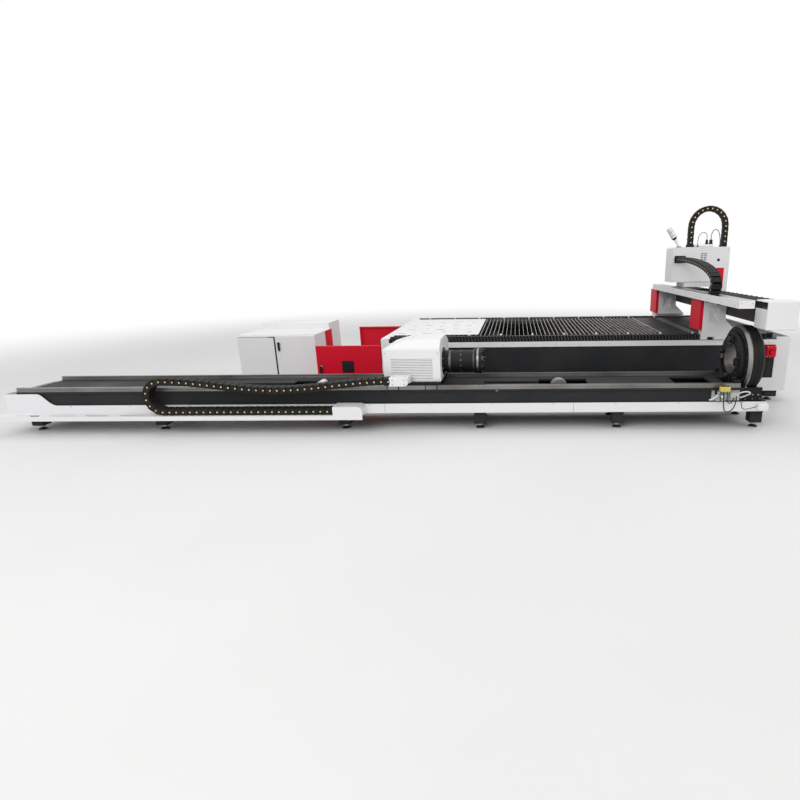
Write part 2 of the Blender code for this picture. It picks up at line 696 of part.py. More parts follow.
# The hood's form less an inset: the outline drawn along X, cut off by a hip at the left end
def hood_form(name, inset, low):
    left, right = CARRIAGE_LEFT + inset, CARRIAGE_RIGHT - inset
    form = extruded(name, hood_outline(inset, low), 0, left, right, WHITE)
    top = HOOD_TOP - inset
    slope = HOOD_HIP_HIGH / HOOD_HIP_LONG
    hip = [(left - OVERRUN, top - HOOD_HIP_HIGH - slope * OVERRUN), (left + HOOD_HIP_LONG, top)]
    hip += [(left + HOOD_HIP_LONG, top + OVERRUN), (left - OVERRUN, top + OVERRUN)]
    cut(form, extruded("hood_hip", hip, 1, HOOD_FRONT - OVERRUN, HOOD_FRONT + HOOD_DEEP + OVERRUN, WHITE))
    return form


def rear_chuck_hood():
    low = CARRIAGE_TOP + SEAT
    hood = hood_form("rear_chuck_hood", 0, low)
    cut(hood, hood_form("hood_inside", HOOD_WALL, low - OVERRUN))
    loose = REAR_DRUM_RADIUS + RUN
    hole = [(loose, CARRIAGE_RIGHT - OVERRUN), (loose, CARRIAGE_RIGHT + OVERRUN)]
    cut(hood, turned("drum_hole", hole, (AXIS_Y, AXIS_Z), 0, WHITE))


# Drum, nose and jaws of the rear chuck turn as one
REAR_JAW_LONG = 0.03
REAR_JAW_IN_SHARE = 0.45
REAR_JAW_OUT_SHARE = 0.92
REAR_JAW_WIDE = 0.04
NECK_LONG = 0.012
NECK_DEPTH = 0.012


def rear_chuck_drum():
    head_right = CARRIAGE_RIGHT - HOOD_WALL - RUN
    start = head_right - HEADSTOCK_LONG
    drum_right = CARRIAGE_RIGHT + REAR_DRUM_LONG
    nose_left = drum_right + NECK_LONG
    nose_right = nose_left + NOSE_LONG
    bore_end = head_right
    profile = [(0, start), (SPINDLE_RADIUS, start), (SPINDLE_RADIUS, head_right + SEAT)]
    profile += [(REAR_DRUM_RADIUS, head_right + SEAT), (REAR_DRUM_RADIUS, drum_right)]
    profile += [(REAR_DRUM_RADIUS - NECK_DEPTH, drum_right), (REAR_DRUM_RADIUS - NECK_DEPTH, nose_left)]
    profile += [(NOSE_RADIUS, nose_left), (NOSE_RADIUS, nose_right), (REAR_BORE_RADIUS, nose_right)]
    profile += [(REAR_BORE_RADIUS, bore_end), (0, bore_end)]
    drum = turned("rear_chuck_drum", profile, (AXIS_Y, AXIS_Z), 0, BLACK)
    low, top = NOSE_RADIUS * REAR_JAW_IN_SHARE, NOSE_RADIUS * REAR_JAW_OUT_SHARE
    half = REAR_JAW_WIDE / 2
    for across in (1, -1):
        span = sorted((across * low, across * top))
        ends = (nose_right - REAR_JAW_LONG, nose_right + REAR_JAW_LONG)
        upright = (*ends, AXIS_Y - half, AXIS_Y + half, AXIS_Z + span[0], AXIS_Z + span[1])
        level = (*ends, AXIS_Y + span[0], AXIS_Y + span[1], AXIS_Z - half, AXIS_Z + half)
        weld(drum, block("upright_jaw", upright, DARK_STEEL))
        weld(drum, block("level_jaw", level, DARK_STEEL))
    pivot(drum, (drum_right, AXIS_Y, AXIS_Z))


# Bracket that carries the chain's moving end out over the front rail
BRACKET_LONG = 0.177
BRACKET_HIGH = 0.078
BRACKET_RISE = 0.024  # above the carriage's underside
BRACKET_ROUND = 0.035
BRACKET_REACH = 0.02


def rear_chuck_bracket():
    low = CARRIAGE_LOW + BRACKET_RISE
    right, top = CHAIN_END + BRACKET_LONG, low + BRACKET_HIGH
    front = CHAIN_MIDDLE - LINK_WIDE / 2
    left = CHAIN_END + SEAT
    corners = [(left, low, 0), (right, low, BRACKET_ROUND), (right, top, 0), (left, top, 0)]
    bracket = extruded("rear_chuck_bracket", rounded(corners), 1, front, CARRIAGE_FRONT - SEAT, WHITE)
    back = CARRIAGE_FRONT - SEAT
    shelf_low = CARRIAGE_TOP + SEAT
    shelf = (CHAIN_END + SEAT, right, back - BRACKET_REACH, HOOD_FRONT - SEAT, shelf_low, shelf_low + SHEET)
    weld(bracket, block("bracket_shelf", shelf, WHITE))


# Air service unit on the tube bed's front web: a plate, a filter and regulator, a gauge and a valve block
AIR_LEFT = 6.66
AIR_LONG = 0.26
AIR_LOW = 0.282
AIR_HIGH = 0.10
AIR_BODY_DEEP = 0.05
BOWL_RADIUS = 0.018
GAUGE_RADIUS = 0.02
BOWL_PLACE_SHARES = (0.2, 0.38)
VALVE_SPAN_SHARES = (0.62, 0.92)
GAUGE_PLACE_SHARE = 0.29
AIR_BODY_SPAN_SHARES = (0.10, 0.48)
AIR_BODY_LEVEL_SHARES = (0.40, 0.70)
VALVE_LEVEL_SHARES = (0.15, 0.85)


def air_service_unit():
    back = WEB_FRONT - SEAT
    face = back - SHEET
    front = face - AIR_BODY_DEEP
    box = (AIR_LEFT, AIR_LEFT + AIR_LONG, face, back, AIR_LOW, AIR_LOW + AIR_HIGH)
    unit = block("air_service_unit", box, GREY)

    def inside(spans, levels):
        across = [AIR_LEFT + AIR_LONG * share for share in spans]
        up = [AIR_LOW + AIR_HIGH * share for share in levels]
        return (*across, front, face + SHEET / 2, *up)

    weld(unit, block("filter_head", inside(AIR_BODY_SPAN_SHARES, AIR_BODY_LEVEL_SHARES), GREY))
    weld(unit, block("valve_block", inside(VALVE_SPAN_SHARES, VALVE_LEVEL_SHARES), GREY))
    middle = (front + face) / 2
    for share in BOWL_PLACE_SHARES:
        bowl = [(BOWL_RADIUS, AIR_LOW + SHEET), (BOWL_RADIUS, AIR_LOW + AIR_HIGH - SHEET)]
        weld(unit, turned("bowl", bowl, (AIR_LEFT + AIR_LONG * share, middle), 2, GREY, SMALL_STEPS))
    dial = [(GAUGE_RADIUS, front - BOWL_RADIUS), (GAUGE_RADIUS, front + BOWL_RADIUS / 2)]
    level = AIR_LOW + AIR_HIGH * (AIR_BODY_LEVEL_SHARES[0] + AIR_BODY_LEVEL_SHARES[1]) / 2
    place = (AIR_LEFT + AIR_LONG * GAUGE_PLACE_SHARE, level)
    weld(unit, turned("gauge", dial, place, 1, GREY, SMALL_STEPS))


# Small cable box at the right end of the skirt
CABLE_BOX_LONG = 0.10
CABLE_BOX_HIGH = 0.07
CABLE_BOX_DEEP = 0.045
CABLE_BOX_ROUND = 0.008


def cable_box():
    middle = (BASE_LOW + BASE_TOP) / 2
    box = (TUBE_RIGHT - CABLE_BOX_LONG, TUBE_RIGHT, TUBE_FRONT - SEAT - CABLE_BOX_DEEP, TUBE_FRONT - SEAT)
    box = (*box, middle - CABLE_BOX_HIGH / 2, middle + CABLE_BOX_HIGH / 2)
    soften(block("cable_box", box, WHITE), CABLE_BOX_ROUND)


# Sheet bed

BED_BEAM_LOW = 0.33
CROSS_WIDE = 0.12
CROSS_LOW = 0.36
CROSS_TOP = 0.60
LEDGE_DEEP = 0.05
LEDGE_HIGH = 0.05
BED_LEG = 0.13
BED_STATION_SHARES = (0.03, 0.27, 0.5, 0.73, 0.97)


def bed_stations():
    return [BED_LEFT + BED_LENGTH * share for share in BED_STATION_SHARES]


def cutting_bed_frame():
    left, right = BED_LEFT + BED_COVER, BED_RIGHT - BED_COVER
    front, rear = BED_FRONT + BED_COVER, BED_REAR - BED_COVER
    inner_front, inner_rear = BEAM_FACE_FRONT, BEAM_FACE_REAR
    ledge_top = SLATS_LOW - SEAT
    members = [
        (left, right, front, inner_front, BED_BEAM_LOW, BED_RAIL_SEAT),
        (left, right, inner_rear, rear, BED_BEAM_LOW, BED_RAIL_SEAT),
        (left, right, inner_front, inner_front + LEDGE_DEEP, ledge_top - LEDGE_HIGH, ledge_top),
        (left, right, inner_rear - LEDGE_DEEP, inner_rear, ledge_top - LEDGE_HIGH, ledge_top),
    ]
    half = CROSS_WIDE / 2
    for x in bed_stations():
        members.append((x - half, x + half, inner_front, inner_rear, CROSS_LOW, CROSS_TOP))
        for y in (front + BED_LEG / 2, rear - BED_LEG / 2):
            leg = (x - BED_LEG / 2, x + BED_LEG / 2, y - BED_LEG / 2, y + BED_LEG / 2)
            members.append((*leg, FOOT_HEIGHT, BED_BEAM_LOW))
    frame = welded("cutting_bed_frame", members, CHARCOAL)
    rows = (front + BED_LEG / 2, rear - BED_LEG / 2)
    weld(frame, feet("cutting_bed_feet", itertools.product(bed_stations(), rows), BED_LEG / 4))


# Front of the sheet bed: a white strip under the rail, a dark panel, and white covers at both ends
STRIP_LOW = 0.650
STRIP_TOP = 0.706
STRIP_THICK = 0.0197
PANEL_THICK = 0.010
PANEL_LOW = 0.14
END_COVER_WIDE = 0.15
END_COVER_LOW = 0.127
END_COVER_TOP = 0.735
END_FOOT_WIDE = 0.30
END_FOOT_HIGH = 0.15
LEFT_COVER_TOP = 0.755
LEFT_COVER_WIDE = 0.09
FLANGE_WIDE = 0.10


def bed_front():
    back = BED_FRONT + BED_COVER - SEAT
    strip_left = BED_LEFT + LEFT_COVER_WIDE + SEAT
    strip_right = BED_RIGHT - END_COVER_WIDE - SEAT
    block("bed_front_strip", (strip_left, strip_right, back - STRIP_THICK, back, STRIP_LOW, STRIP_TOP), WHITE)
    panel_top = STRIP_LOW - SEAT
    foot_left = BED_RIGHT - END_FOOT_WIDE - SEAT
    foot_top = END_COVER_LOW + END_FOOT_HIGH + SEAT
    panel = [(strip_left, foot_left, back - PANEL_THICK, back, PANEL_LOW, panel_top)]
    panel.append((foot_left, strip_right, back - PANEL_THICK, back, foot_top, panel_top))
    welded("bed_front_panel", panel, CHARCOAL)
    inner, low = BED_RIGHT - END_COVER_WIDE, END_COVER_LOW
    front = [(inner, BED_RIGHT, BED_FRONT, BED_FRONT + SHEET, low, END_COVER_TOP)]
    front.append((BED_RIGHT - END_FOOT_WIDE, inner, BED_FRONT, BED_FRONT + SHEET, low, low + END_FOOT_HIGH))
    side = (BED_RIGHT - SHEET, BED_RIGHT, BED_FRONT, BED_REAR, low, END_COVER_TOP)
    inside = (inner, inner + SHEET, BED_FRONT, back - PANEL_THICK - SEAT, foot_top, END_COVER_TOP)
    flange = (inner, BED_RIGHT, BED_FRONT, back, END_COVER_TOP - SHEET, END_COVER_TOP)
    welded("bed_right_cover", front + [side, inside, flange], WHITE)


# Left cover: a front post, a frame round the opening that the red doors close, and a top flange
DOOR_POST = 0.28
LEFT_COVER_LOW = 0.12


def bed_left_cover():
    left, low, top = BED_LEFT, LEFT_COVER_LOW, LEFT_COVER_TOP
    side = (left, left + SHEET, BED_FRONT, BED_REAR, low, top)
    post = (left, left + LEFT_COVER_WIDE, BED_FRONT, BED_FRONT + SHEET, low, top)
    flange = (left, left + FLANGE_WIDE, BED_FRONT, BED_REAR, top - SHEET, top)
    levels = (DOOR_LOW + DOOR_THICK, DOOR_TOP - DOOR_THICK)
    middle = (FRONT_DOOR_HINGE + REAR_DOOR_HINGE) / 2
    opened = []
    for one, other in ((FRONT_DOOR_HINGE + DOOR_THICK, middle - DOOR_POST / 2),
                       (middle + DOOR_POST / 2, REAR_DOOR_HINGE - DOOR_THICK)):
        opened.append((left, left + SHEET, one, other, *levels))
    welded("bed_left_cover", [side, post, flange], WHITE, opened)


# Slat table: upright slats between two end bars, as one grid

def slat_table():
    right = SLATS_LEFT + SLAT_COUNT * SLAT_PITCH
    bar = (SLATS_LEFT, right + SLAT_THICK, SLATS_FRONT, SLATS_REAR, SLATS_LOW, SLATS_TOP)
    gaps = []
    for n in range(SLAT_COUNT):
        start = SLATS_LEFT + n * SLAT_PITCH + SLAT_THICK
        end = start + SLAT_PITCH - SLAT_THICK
        gaps.append((start, end, SLATS_FRONT + END_BAR, SLATS_REAR - END_BAR, SLATS_LOW, SLATS_TOP))
    welded("slat_table", [bar], DARK_STEEL, gaps)


END_BAR = 0.012
SHEET_LEFT = SLATS_LEFT
SHEET_WIDE = 0.98
SHEET_THICK = 0.003
SHEET_EDGE = 0.03  # bare slat in front of the sheet and behind it
COVER_PLATE_TOP = 0.762
COVER_PLATE_RIGHT = 7.70


def table_covers():
    left = SLATS_LEFT + SLAT_COUNT * SLAT_PITCH + SLAT_THICK + SEAT
    span = (left, COVER_PLATE_RIGHT)
    pan = [(*span, SLATS_FRONT, SLATS_REAR, COVER_PLATE_TOP - SHEET, COVER_PLATE_TOP)]
    pan.append((*span, SLATS_FRONT, SLATS_FRONT + END_BAR, SLATS_LOW, COVER_PLATE_TOP))
    pan.append((*span, SLATS_REAR - END_BAR, SLATS_REAR, SLATS_LOW, COVER_PLATE_TOP))
    welded("cover_plate", pan, BLACK)
    low = SLATS_TOP + SEAT
    ends = (SLATS_FRONT + SHEET_EDGE, SLATS_REAR - SHEET_EDGE)
    blank = (SHEET_LEFT, SHEET_LEFT + SHEET_WIDE, *ends, low, low + SHEET_THICK)
    block("loaded_sheet", blank, WHITE)


# Rails of the sheet bed: the front one carries a toothed rack on its outer side
RACK_PITCH = 0.024
RACK_TOOTH = 0.008
RACK_SPACE_SHARE = 0.5
WIPER_SHARE = 0.15


def bed_rails():
    left, right = BED_LEFT + BED_RAIL_END, BED_RIGHT - BED_RAIL_END - END_COVER_WIDE
    low = BED_RAIL_SEAT + SEAT
    count = int((right - left) / RACK_PITCH)
    teeth = [(left, BED_RAIL_FRONT + BED_RAIL_WIDE), (left, BED_RAIL_FRONT + RACK_TOOTH)]
    for n in range(count):
        start = left + n * RACK_PITCH
        teeth.append((start + RACK_PITCH * WIPER_SHARE, BED_RAIL_FRONT + RACK_TOOTH))
        teeth.append((start + RACK_PITCH * RACK_SPACE_SHARE, BED_RAIL_FRONT))
        teeth.append((start + RACK_PITCH * (RACK_SPACE_SHARE + WIPER_SHARE), BED_RAIL_FRONT))
    teeth += [(right, BED_RAIL_FRONT + RACK_TOOTH), (right, BED_RAIL_FRONT + BED_RAIL_WIDE)]
    extruded("bed_rail_front", teeth, 2, low, low + BED_RAIL_HIGH, BLACK)
    outline = rail_outline(BED_RAIL_REAR, BED_RAIL_WIDE, low, BED_RAIL_HIGH)
    extruded("bed_rail_rear", outline, 0, left, right, STEEL)


# Emergency stop at the right end of the sheet bed
STOP_LEFT = 7.565
STOP_WIDE = 0.105
STOP_LOW = 0.515
STOP_HIGH = 0.125
STOP_DEEP = 0.06
STOP_STEM = 0.012
STOP_STEM_LONG = 0.016
STOP_CAP = 0.022
STOP_CAP_LONG = 0.014
STOP_ROUND = 0.006


def emergency_stop():
    back = BED_FRONT + BED_COVER - SEAT - PANEL_THICK - SEAT
    face = back - STOP_DEEP
    box = (STOP_LEFT, STOP_LEFT + STOP_WIDE, face, back, STOP_LOW, STOP_LOW + STOP_HIGH)
    centre = (STOP_LEFT + STOP_WIDE / 2, STOP_LOW + STOP_HIGH / 2)
    housing = soften(block("stop_box", box, RED), STOP_ROUND)
    hole = [(STOP_STEM + SEAT, face - OVERRUN), (STOP_STEM + SEAT, face + STOP_STEM_LONG)]
    cut(housing, turned("stop_hole", hole, centre, 1, RED, SMALL_STEPS))
    stem_in = face + STOP_STEM_LONG / 2
    cap = face - STOP_STEM_LONG / 2
    profile = [(0, stem_in), (STOP_STEM, stem_in), (STOP_STEM, cap), (STOP_CAP, cap)]
    profile += [(STOP_CAP, cap - STOP_CAP_LONG), (0, cap - STOP_CAP_LONG)]
    pivot(turned("stop_button", profile, centre, 1, BLACK, SMALL_STEPS), (centre[0], cap, centre[1]))


# Red doors of the sheet bed's left end, standing open along the machine
DOOR_WIDE = 0.745
DOOR_LOW = 0.145
DOOR_TOP = 0.68
DOOR_THICK = 0.03
FRONT_DOOR_HINGE = BED_FRONT + DOOR_THICK
REAR_DOOR_HINGE = 2.62
KNUCKLE_RADIUS = 0.010
DOOR_GAP = KNUCKLE_RADIUS + SEAT
HINGE_HIGH_SHARES = ((0.12, 0.24), (0.76, 0.88))
LATCH_LEVEL_SHARE = 0.55
LATCH_IN = 0.045
LATCH_LONG = 0.07
LATCH_WIDE = 0.022
LATCH_THICK = 0.012
LATCH_STEM = 0.010
LATCH_STAND = 0.014
VENT_WIDE = 0.12
VENT_HIGH = 0.12
VENT_IN_SHARE = 0.56
VENT_LOW_SHARE = 0.44
VENT_BAR = 0.008
VENT_GAPS = 5


def red_door(name, hinge, outer):
    axis = (BED_LEFT - DOOR_GAP, hinge)
    near, far = axis[0], axis[0] - DOOR_WIDE
    face = hinge + outer * DOOR_THICK
    faces = sorted((hinge, face))
    skin = sorted((face, face - outer * SHEET))
    members = [(far, near, *skin, DOOR_LOW, DOOR_TOP)]
    for a, b in ((far, far + SHEET), (near - SHEET, near)):
        members.append((a, b, *faces, DOOR_LOW, DOOR_TOP))
    for a, b in ((DOOR_LOW, DOOR_LOW + SHEET), (DOOR_TOP - SHEET, DOOR_TOP)):
        members.append((far, near, *faces, a, b))
    high = DOOR_TOP - DOOR_LOW
    vent_left = far + DOOR_WIDE * VENT_IN_SHARE - VENT_WIDE
    vent_low = DOOR_LOW + high * VENT_LOW_SHARE
    pitch = VENT_HIGH / VENT_GAPS
    gaps = []
    for n in range(VENT_GAPS):
        low = vent_low + n * pitch
        gaps.append((vent_left, vent_left + VENT_WIDE, *skin, low, low + pitch - VENT_BAR))
    door = welded(name, members, RED, gaps)
    for low, top in HINGE_HIGH_SHARES:
        ends = [(KNUCKLE_RADIUS, DOOR_LOW + high * low), (KNUCKLE_RADIUS, DOOR_LOW + high * top)]
        weld(door, turned("knuckle", ends, axis, 2, RED))
    pivot(door, (*axis, DOOR_LOW))
    red_door_latch(f"{name}_latch", far, face, outer)


# A quarter-turn lever on a short stem that stands off the door's face
def red_door_latch(name, far, door_face, outer):
    level = DOOR_LOW + (DOOR_TOP - DOOR_LOW) * LATCH_LEVEL_SHARE
    centre = (far + LATCH_IN, level)
    face = door_face + outer * SEAT
    stand = face + outer * LATCH_STAND
    stem = turned(name, sorted_ends(LATCH_STEM, face, stand), centre, 1, BLACK, SMALL_STEPS)
    reach = sorted((stand - outer * LATCH_THICK / 2, stand + outer * LATCH_THICK))
    half = LATCH_WIDE / 2
    lever = (centre[0] - half, centre[0] + half, *reach, level - LATCH_LONG, level + half)
    weld(stem, block("latch_lever", lever, BLACK))
    pivot(stem, (centre[0], face, level))


def sorted_ends(radius, one, other):
    return [(radius, along) for along in sorted((one, other))]


# Power cabinet that stands behind the tube bed: an open box with two doors and a taller rear part
CABINET_LEFT = 1.47
CABINET_WIDE = 0.94
CABINET_FRONT = 1.22
CABINET_DEEP = 0.60
CABINET_LOW = 0.08
CABINET_TOP = 0.765
CABINET_WALL = 0.02
BACK_DEEP = 0.40
BACK_IN = 0.03
BACK_RISE = 0.07
LEFT_LEAF = 0.46
LEAF_THICK = 0.022
LEAF_GAP = 0.003  # between the two leaves
LEAF_EDGE = 0.012
FOOT_BLOCK = 0.06
HANDLE_IN = 0.04
HANDLE_HIGH = 0.09
HANDLE_LEVEL_SHARE = 0.86


def cabinet_body():
    left, right = CABINET_LEFT, CABINET_LEFT + CABINET_WIDE
    front, back = CABINET_FRONT + LEAF_THICK + SEAT, CABINET_FRONT + CABINET_DEEP
    low, top, wall = CABINET_LOW, CABINET_TOP, CABINET_WALL
    members = [
        (left, right, front, back, low, low + wall),
        (left, right, front, back, top - wall, top),
        (left, left + wall, front, back, low, top),
        (right - wall, right, front, back, low, top),
        (left, right, back - wall, back, low, top),
        (left + BACK_IN, right - BACK_IN, back, back + BACK_DEEP, low, top + BACK_RISE),
    ]
    for x, y in itertools.product((left, right - FOOT_BLOCK), (front, back + BACK_DEEP - FOOT_BLOCK)):
        shift = BACK_IN if x == left else -BACK_IN
        members.append((x + shift, x + shift + FOOT_BLOCK, y, y + FOOT_BLOCK, 0, low))
    welded("cabinet_body", members, WHITE)


def cabinet_leaf(name, left, right, hinge_at_left):
    front, back = CABINET_FRONT, CABINET_FRONT + LEAF_THICK
    low, top = CABINET_LOW + LEAF_EDGE, CABINET_TOP - LEAF_EDGE
    leaf = block(name, (left, right, front, back, low, top), WHITE)
    hinge = left if hinge_at_left else right
    pivot(leaf, (hinge, back, low))


def cabinet_doors():
    seam = CABINET_LEFT + LEFT_LEAF
    right = CABINET_LEFT + CABINET_WIDE
    cabinet_leaf("cabinet_door_left", CABINET_LEFT, seam - LEAF_GAP / 2, True)
    cabinet_leaf("cabinet_door_right", seam + LEAF_GAP / 2, right, False)
    level = CABINET_LOW + (CABINET_TOP - CABINET_LOW) * HANDLE_LEVEL_SHARE
    face = CABINET_FRONT - SEAT
    centre = (seam + HANDLE_IN, level)
    stem = sorted_ends(LATCH_STEM, face, face - LATCH_STAND)
    handle = turned("cabinet_handle", stem, centre, 1, BLACK, SMALL_STEPS)
    half = LATCH_WIDE / 2
    depth = (face - LATCH_STAND - LATCH_THICK / 2, face - LATCH_STAND + LATCH_THICK / 2)
    lever = (centre[0] - half, centre[0] + half, *depth, level - HANDLE_HIGH, level + half)
    weld(handle, block("handle_lever", lever, BLACK))
    pivot(handle, (centre[0], face, level))


# Gantry

LEG_SOLE = 0.715
LEG_CEILING = BED_RAIL_TOP + SEAT
LEG_OVER = 0.81
LEG_FLARE_LOW = 0.79
LEG_FLARE_TOP = 0.93
CREASE = 0.032
CREASE_EDGE = 0.012
FOOT_NOTCH_SHARES = (0.27, 0.58)
FOOT_NOTCH_HIGH = 0.03
LEG_COVER_THICK = 0.035
LEG_COVER_LOW = 0.82
LEG_COVER_TOP = 1.145


def gantry_beam():
    members = [(BEAM_LEFT, BEAM_RIGHT, BEAM_FRONT, BEAM_REAR, BEAM_LOW, BEAM_TOP)]
    beam = welded("gantry_beam", members, GREY)
    return beam


# A leg seen from the machine's end: a shoe over the rail, and a body that reaches in over the slats
def gantry_leg(name, front, rail_front, rail_at_front):
    top = BEAM_TOP - SEAT
    rear = front + LEG_BODY
    gap_front, gap_rear = rail_front - RUN, rail_front + BED_RAIL_WIDE + RUN
    outline = [(front, LEG_SOLE), (gap_front, LEG_SOLE), (gap_front, LEG_CEILING)]
    outline += [(gap_rear, LEG_CEILING), (gap_rear, LEG_OVER), (rear, LEG_OVER), (rear, top), (front, top)]
    if not rail_at_front:
        outline = [(front, LEG_OVER), (gap_front, LEG_OVER)]
        outline += [(gap_front, LEG_CEILING), (gap_rear, LEG_CEILING)]
        outline += [(gap_rear, LEG_SOLE), (rear, LEG_SOLE), (rear, top), (front, top)]
    leg = extruded(name, outline, 0, LEG_LEFT, LEG_LEFT + LEG_FOOT_LONG, WHITE)
    side, end = LEG_LEFT + LEG_LONG + SHEET, LEG_LEFT + LEG_FOOT_LONG
    flare = [(side, top + OVERRUN), (side, LEG_FLARE_TOP), (end, LEG_FLARE_LOW)]
    flare += [(end + OVERRUN, LEG_FLARE_LOW), (end + OVERRUN, top + OVERRUN)]
    cut(leg, extruded("leg_flare", flare, 1, front - OVERRUN, rear + OVERRUN, WHITE))
    crease(leg, front)
    if rail_at_front:
        left, right = (LEG_LEFT + LEG_LONG * share for share in FOOT_NOTCH_SHARES)
        notch = (left, right, front - OVERRUN, gap_front + OVERRUN)
        cut(leg, block("foot_notch", (*notch, LEG_SOLE - OVERRUN, LEG_SOLE + FOOT_NOTCH_HIGH), WHITE))
    cover = (LEG_LEFT - SEAT - LEG_COVER_THICK, LEG_LEFT - SEAT, front, rear, LEG_COVER_LOW, LEG_COVER_TOP)
    block(f"{name}_cover", cover, RED)


# The leg's front face is pressed in to an X, with its deepest point in the middle
def crease(leg, front):
    middle = ((LEG_LEFT + LEG_LEFT + LEG_LONG) / 2, (LEG_OVER + LEG_COVER_TOP) / 2)
    edge = CREASE_EDGE
    corners = [(LEG_LEFT + edge, LEG_OVER + edge), (LEG_LEFT + LEG_LONG - edge, LEG_OVER + edge)]
    corners += [(LEG_LEFT + LEG_LONG - edge, LEG_COVER_TOP - edge), (LEG_LEFT + edge, LEG_COVER_TOP - edge)]
    bm = bmesh.new()
    ring = [bm.verts.new((x, front - CREASE, z)) for x, z in corners]
    tip = bm.verts.new((middle[0], front + CREASE, middle[1]))
    bm.faces.new(ring)
    for n in range(4):
        bm.faces.new([ring[n - 1], ring[n], tip])
    cut(leg, put("leg_crease", bm, WHITE))


def gantry_tray():
    left, right = GANTRY_TRAY_LEFT, GANTRY_TRAY_LEFT + GANTRY_TRAY_WIDE
    front, rear = GANTRY_TRAY_FRONT, GANTRY_TRAY_REAR
    low = BEAM_TOP
    top = low + GANTRY_TRAY_HIGH
    members = [(left, right, front, rear, low, low + SHEET), (left, left + SHEET, front, rear, low, top)]
    members.append((right - SHEET, right, front, rear, low, top))
    members.append((left, right, front, front + SHEET, low, top))
    members.append((left, right, rear - SHEET, rear, low, top))
    welded("gantry_tray", members, WHITE)


# Folded dust cover over the beam's guides
FOLD_PITCH = 0.06
FOLD_HIGH = 0.012
FOLD_COVER_HIGH = 0.04


def gantry_bellows():
    left, right = GANTRY_TRAY_LEFT + GANTRY_TRAY_WIDE + SEAT, BEAM_RIGHT
    low = BEAM_TOP + SEAT
    top = low + FOLD_COVER_HIGH
    front, rear = BEAM_FRONT, GANTRY_TRAY_REAR
    count = int((rear - front) / FOLD_PITCH)
    outline = [(rear, low), (front, low)]
    for n in range(count + 1):
        outline.append((front + (rear - front) * n / count, top - FOLD_HIGH * (n % 2)))
    bellows = extruded("gantry_bellows", outline, 0, left, right, LINK_BLACK)
    tongue = (END_BOX_LEFT + SEAT, END_BOX_LEFT + END_BOX_NOTCH - SEAT)
    tongue += (front - SEAT - END_BOX_DEEP + END_BOX_WALL + SEAT, front + FOLD_PITCH, low, top - FOLD_HIGH)
    weld(bellows, block("bellows_tongue", tongue, LINK_BLACK))


# Motor box on the beam's front end: its left wall stops below the folded cover, which runs into it
END_BOX_LEFT = 7.04
END_BOX_WIDE = 0.28
END_BOX_LOW = 0.955
END_BOX_TOP = 1.212
END_BOX_DEEP = 0.25
END_BOX_ROUND = 0.008
END_BOX_NOTCH = 0.06
END_BOX_WALL = 0.012
END_BOX_NOTCH_LOW = 1.137


def gantry_end_box():
    back = BEAM_FRONT - SEAT
    front, left = back - END_BOX_DEEP, END_BOX_LEFT
    whole = (left, left + END_BOX_WIDE, front, back, END_BOX_LOW, END_BOX_TOP)
    box = soften(block("gantry_end_box", whole, WHITE), END_BOX_ROUND)
    notch = (left - OVERRUN, left + END_BOX_NOTCH, front + END_BOX_WALL, back + OVERRUN)
    cut(box, block("end_box_notch", (*notch, END_BOX_NOTCH_LOW, END_BOX_TOP - END_BOX_WALL), WHITE))


# Head: a saddle on the beam, a cover over it, and the cutting head in the tower beside the beam
SADDLE_THICK = 0.02
SADDLE_OVER = 0.04
SADDLE_REACH = 0.04  # how far the saddle passes the cover's front
SADDLE_LOW = 1.01
SADDLE_LEFT = 6.90
HEAD_ROUND = 0.02
CUTTER_WIDE = 0.06
CUTTER_DEEP = 0.12
CUTTER_TOP = 1.50
POCKET_TOP = 1.60
COLLAR_LOW = 0.90
NOZZLE_LOW = 0.845
NOZZLE_RADIUS = 0.006
CONE_RADIUS = 0.024
COLLAR_RADIUS = 0.029


def head_saddle():
    over = BEAM_TOP + SEAT + FOLD_COVER_HIGH + SADDLE_OVER
    top = HEAD_LOW - SEAT
    face = BEAM_RIGHT + SEAT
    rear = HEAD_FRONT + HEAD_DEEP - SADDLE_THICK
    side = (face, face + SADDLE_THICK, HEAD_FRONT + SADDLE_THICK, rear, SADDLE_LOW, top)
    arm = (SADDLE_LEFT, face + SADDLE_THICK, HEAD_FRONT - SADDLE_REACH, rear, over, top)
    welded("head_saddle", [side, arm], WHITE)


def head_cover():
    corners = [
        (HEAD_LEFT, HEAD_TOP, HEAD_ROUND), (HEAD_LEFT, HEAD_LOW, 0), (TOWER_LEFT, HEAD_LOW, 0),
        (TOWER_LEFT, TOWER_LOW, 0), (HEAD_RIGHT, TOWER_LOW, 0), (HEAD_RIGHT, HEAD_TOP, HEAD_ROUND),
    ]
    cover = extruded("head_cover", rounded(corners, 3), 1, HEAD_FRONT, HEAD_FRONT + HEAD_DEEP, WHITE)
    middle = (TOWER_LEFT + HEAD_RIGHT) / 2
    half_wide, half_deep = CUTTER_WIDE / 2 + SEAT, CUTTER_DEEP / 2 + SEAT
    pocket = (middle - half_wide, middle + half_wide, HEAD_MIDDLE - half_deep, HEAD_MIDDLE + half_deep)
    cut(cover, block("tower_pocket", (*pocket, TOWER_LOW - OVERRUN, POCKET_TOP), WHITE))


